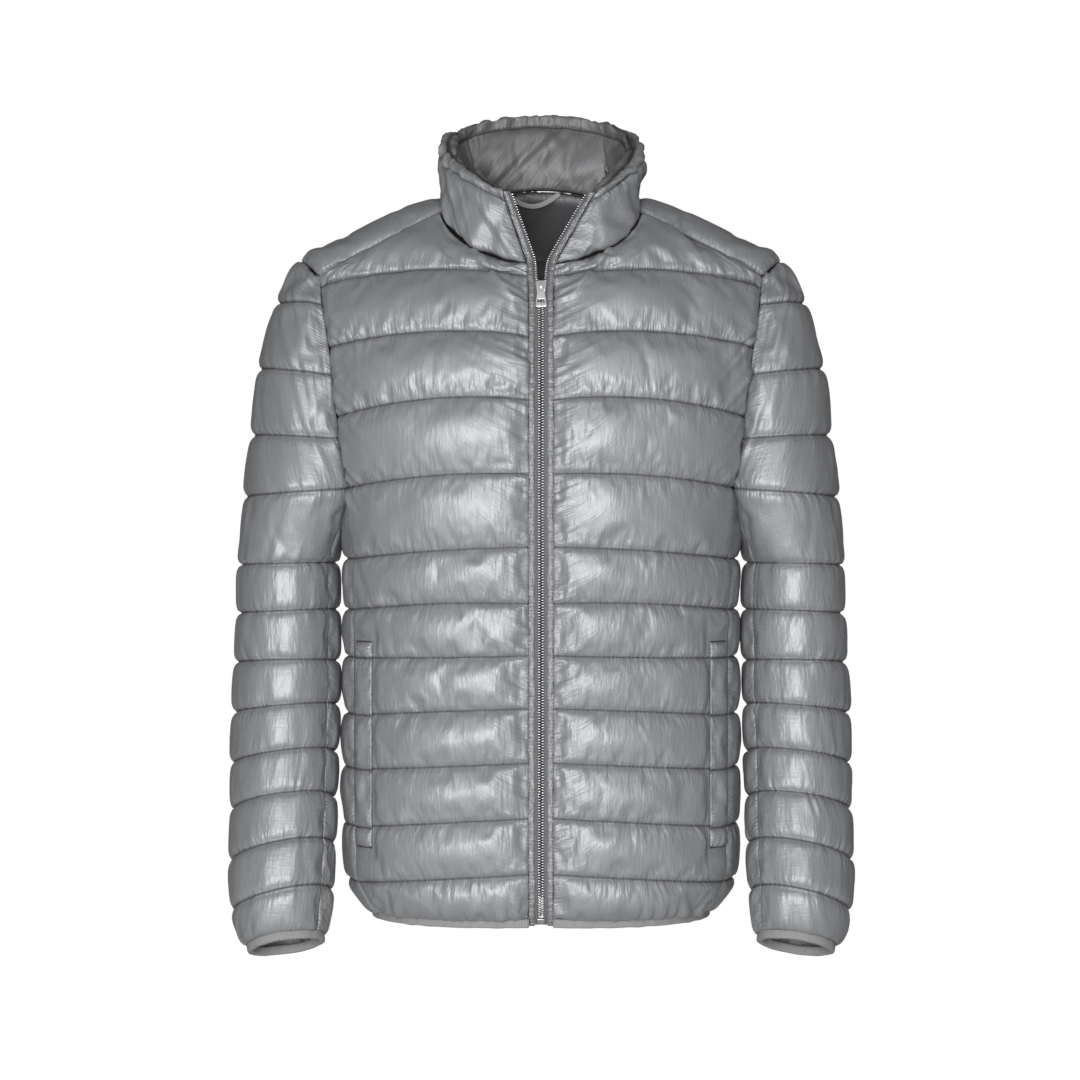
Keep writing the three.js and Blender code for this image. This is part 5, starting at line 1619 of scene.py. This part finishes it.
for side_name, side in (("left", -1), ("right", 1)):
    facing = make_zip_strip(f"zip_facing_{side_name}", side, (-0.1, -0.5), (5.4, 1.5), 0.5, pucker=0.8)
    tape = make_zip_strip(
        f"zip_tape_{side_name}_weave", side, (0.3, -1.4), (9.6, -0.6), 0.25, opened_shift=1.8,
    )
    add(facing, shell)
    add(tape, dark_tape, [f"zip_tape_{side_name}"])
    run = lengths(ZIP_PATHS[side][0])[-1]
    declare_sheet(facing, ZIP_CUT, run, FACING_WIDE * run, "hung", [f"front_{side_name}_cloth"])
    declare_sheet(tape, ZIP_CUT, run, ZIP_CUT * run, "hung", [f"front_{side_name}_cloth"])
    lower = make_teeth(f"zip_teeth_{side_name}_closed", side, upper=False)
    add(lower, teeth_plastic, ["zip_chain"] if side < 0 else [])
    upper = make_teeth(f"zip_teeth_{side_name}_open", side, upper=True)
    add(upper, teeth_plastic, [f"zip_teeth_{side_name}"])
    mirror = side > 0
    add(make_stitches(f"zip_stitches_{side_name}", zip_stitches(side)), thread)
    add(make_stitches(f"pocket_welt_{side_name}_seam", welt_stitches(mirror)), thread)
    add(make_stitches(f"yoke_{side_name}_cross", yoke_stitches(mirror)), thread)
    cuff = make_cuff(f"cuff_elastic_{side_name}", mirror)
    add(cuff, binding, [f"cuff_binding_{side_name}"])
    sleeve = f"sleeve_{side_name}_cloth"
    declare_sheet(cuff, BINDING_CUT, CUFF_RUN, BINDING_CUT * CUFF_RUN, "gathered", [sleeve])

add(make_slider(), steel, ["zip_slider"])
add(make_bridge(), steel, ["zip_bridge"])
add(make_pull(), steel, ["zip_pull"], body="pull")
add(make_box(), teeth_plastic, ["zip_box"])
hem = add(make_hem(), binding, ["hem_binding"])
above_hem = ["front_left_cloth", "front_right_cloth", "back_cloth"]
declare_sheet(hem, BINDING_CUT, HEM_RUN, BINDING_CUT * HEM_RUN, "gathered", above_hem)
loop = add(make_loop(), band, ["hanger_loop"])
declare_sheet(loop, LOOP_CUT["width"], LOOP_CUT["run"], LOOP_CUT["area"], "hung", ["collar_inner_cloth"])


# Studio


def look_at(obj, place, target):
    obj.location = place
    obj.rotation_euler = (Vector(target) - Vector(place)).to_track_quat("-Z", "Y").to_euler()


def area_light(name, place, target, width, height, power):
    light = bpy.data.lights.new(name, "AREA")
    light.shape = "RECTANGLE"
    light.size, light.size_y = width, height
    light.energy = power
    obj = new_object(name, light)
    look_at(obj, place, target)


def stage_plane(name, size, place, turn, material):
    bm = bmesh.new()
    bmesh.ops.create_grid(bm, x_segments=1, y_segments=1, size=size / 2)
    matrix = Matrix.Translation(place) @ Matrix.Rotation(turn, 4, "X")
    bmesh.ops.transform(bm, matrix=matrix, verts=bm.verts)
    obj = new_object(name, mesh_from(bm, name))
    obj.data.materials.append(material.data)


area_light("key", (-0.5, -3.7, -0.4), (0, 0, -0.3), 1.6, 1.3, 128)
area_light("top", (0.6, -3.0, 1.4), (0, 0, -0.3), 1.0, 0.8, 22)

world = bpy.data.worlds.new("studio")
bpy.context.scene.world = world
world.use_nodes = True
world.node_tree.nodes["Background"].inputs["Color"].default_value = (1, 1, 1, 1)
world.node_tree.nodes["Background"].inputs["Strength"].default_value = 0.17

floor_paint = plain("floor_paint", (0.8, 0.8, 0.8), 0.02, 0.3, roughness=0.8, metallic=0.0)
stage_plane("floor", 6, (0, 0, -1.5), 0, floor_paint)
screen_paint = Material("screen_paint", base_color=(0, 0, 0, 1), roughness=1.0)
screen_paint.set(emission_color=(1, 1, 1, 1), emission_strength=1.0)
stage_plane("screen", 2.3, (0, 3.2, -0.34), math.pi / 2, screen_paint)

bpy.context.scene.view_settings.view_transform = "Standard"
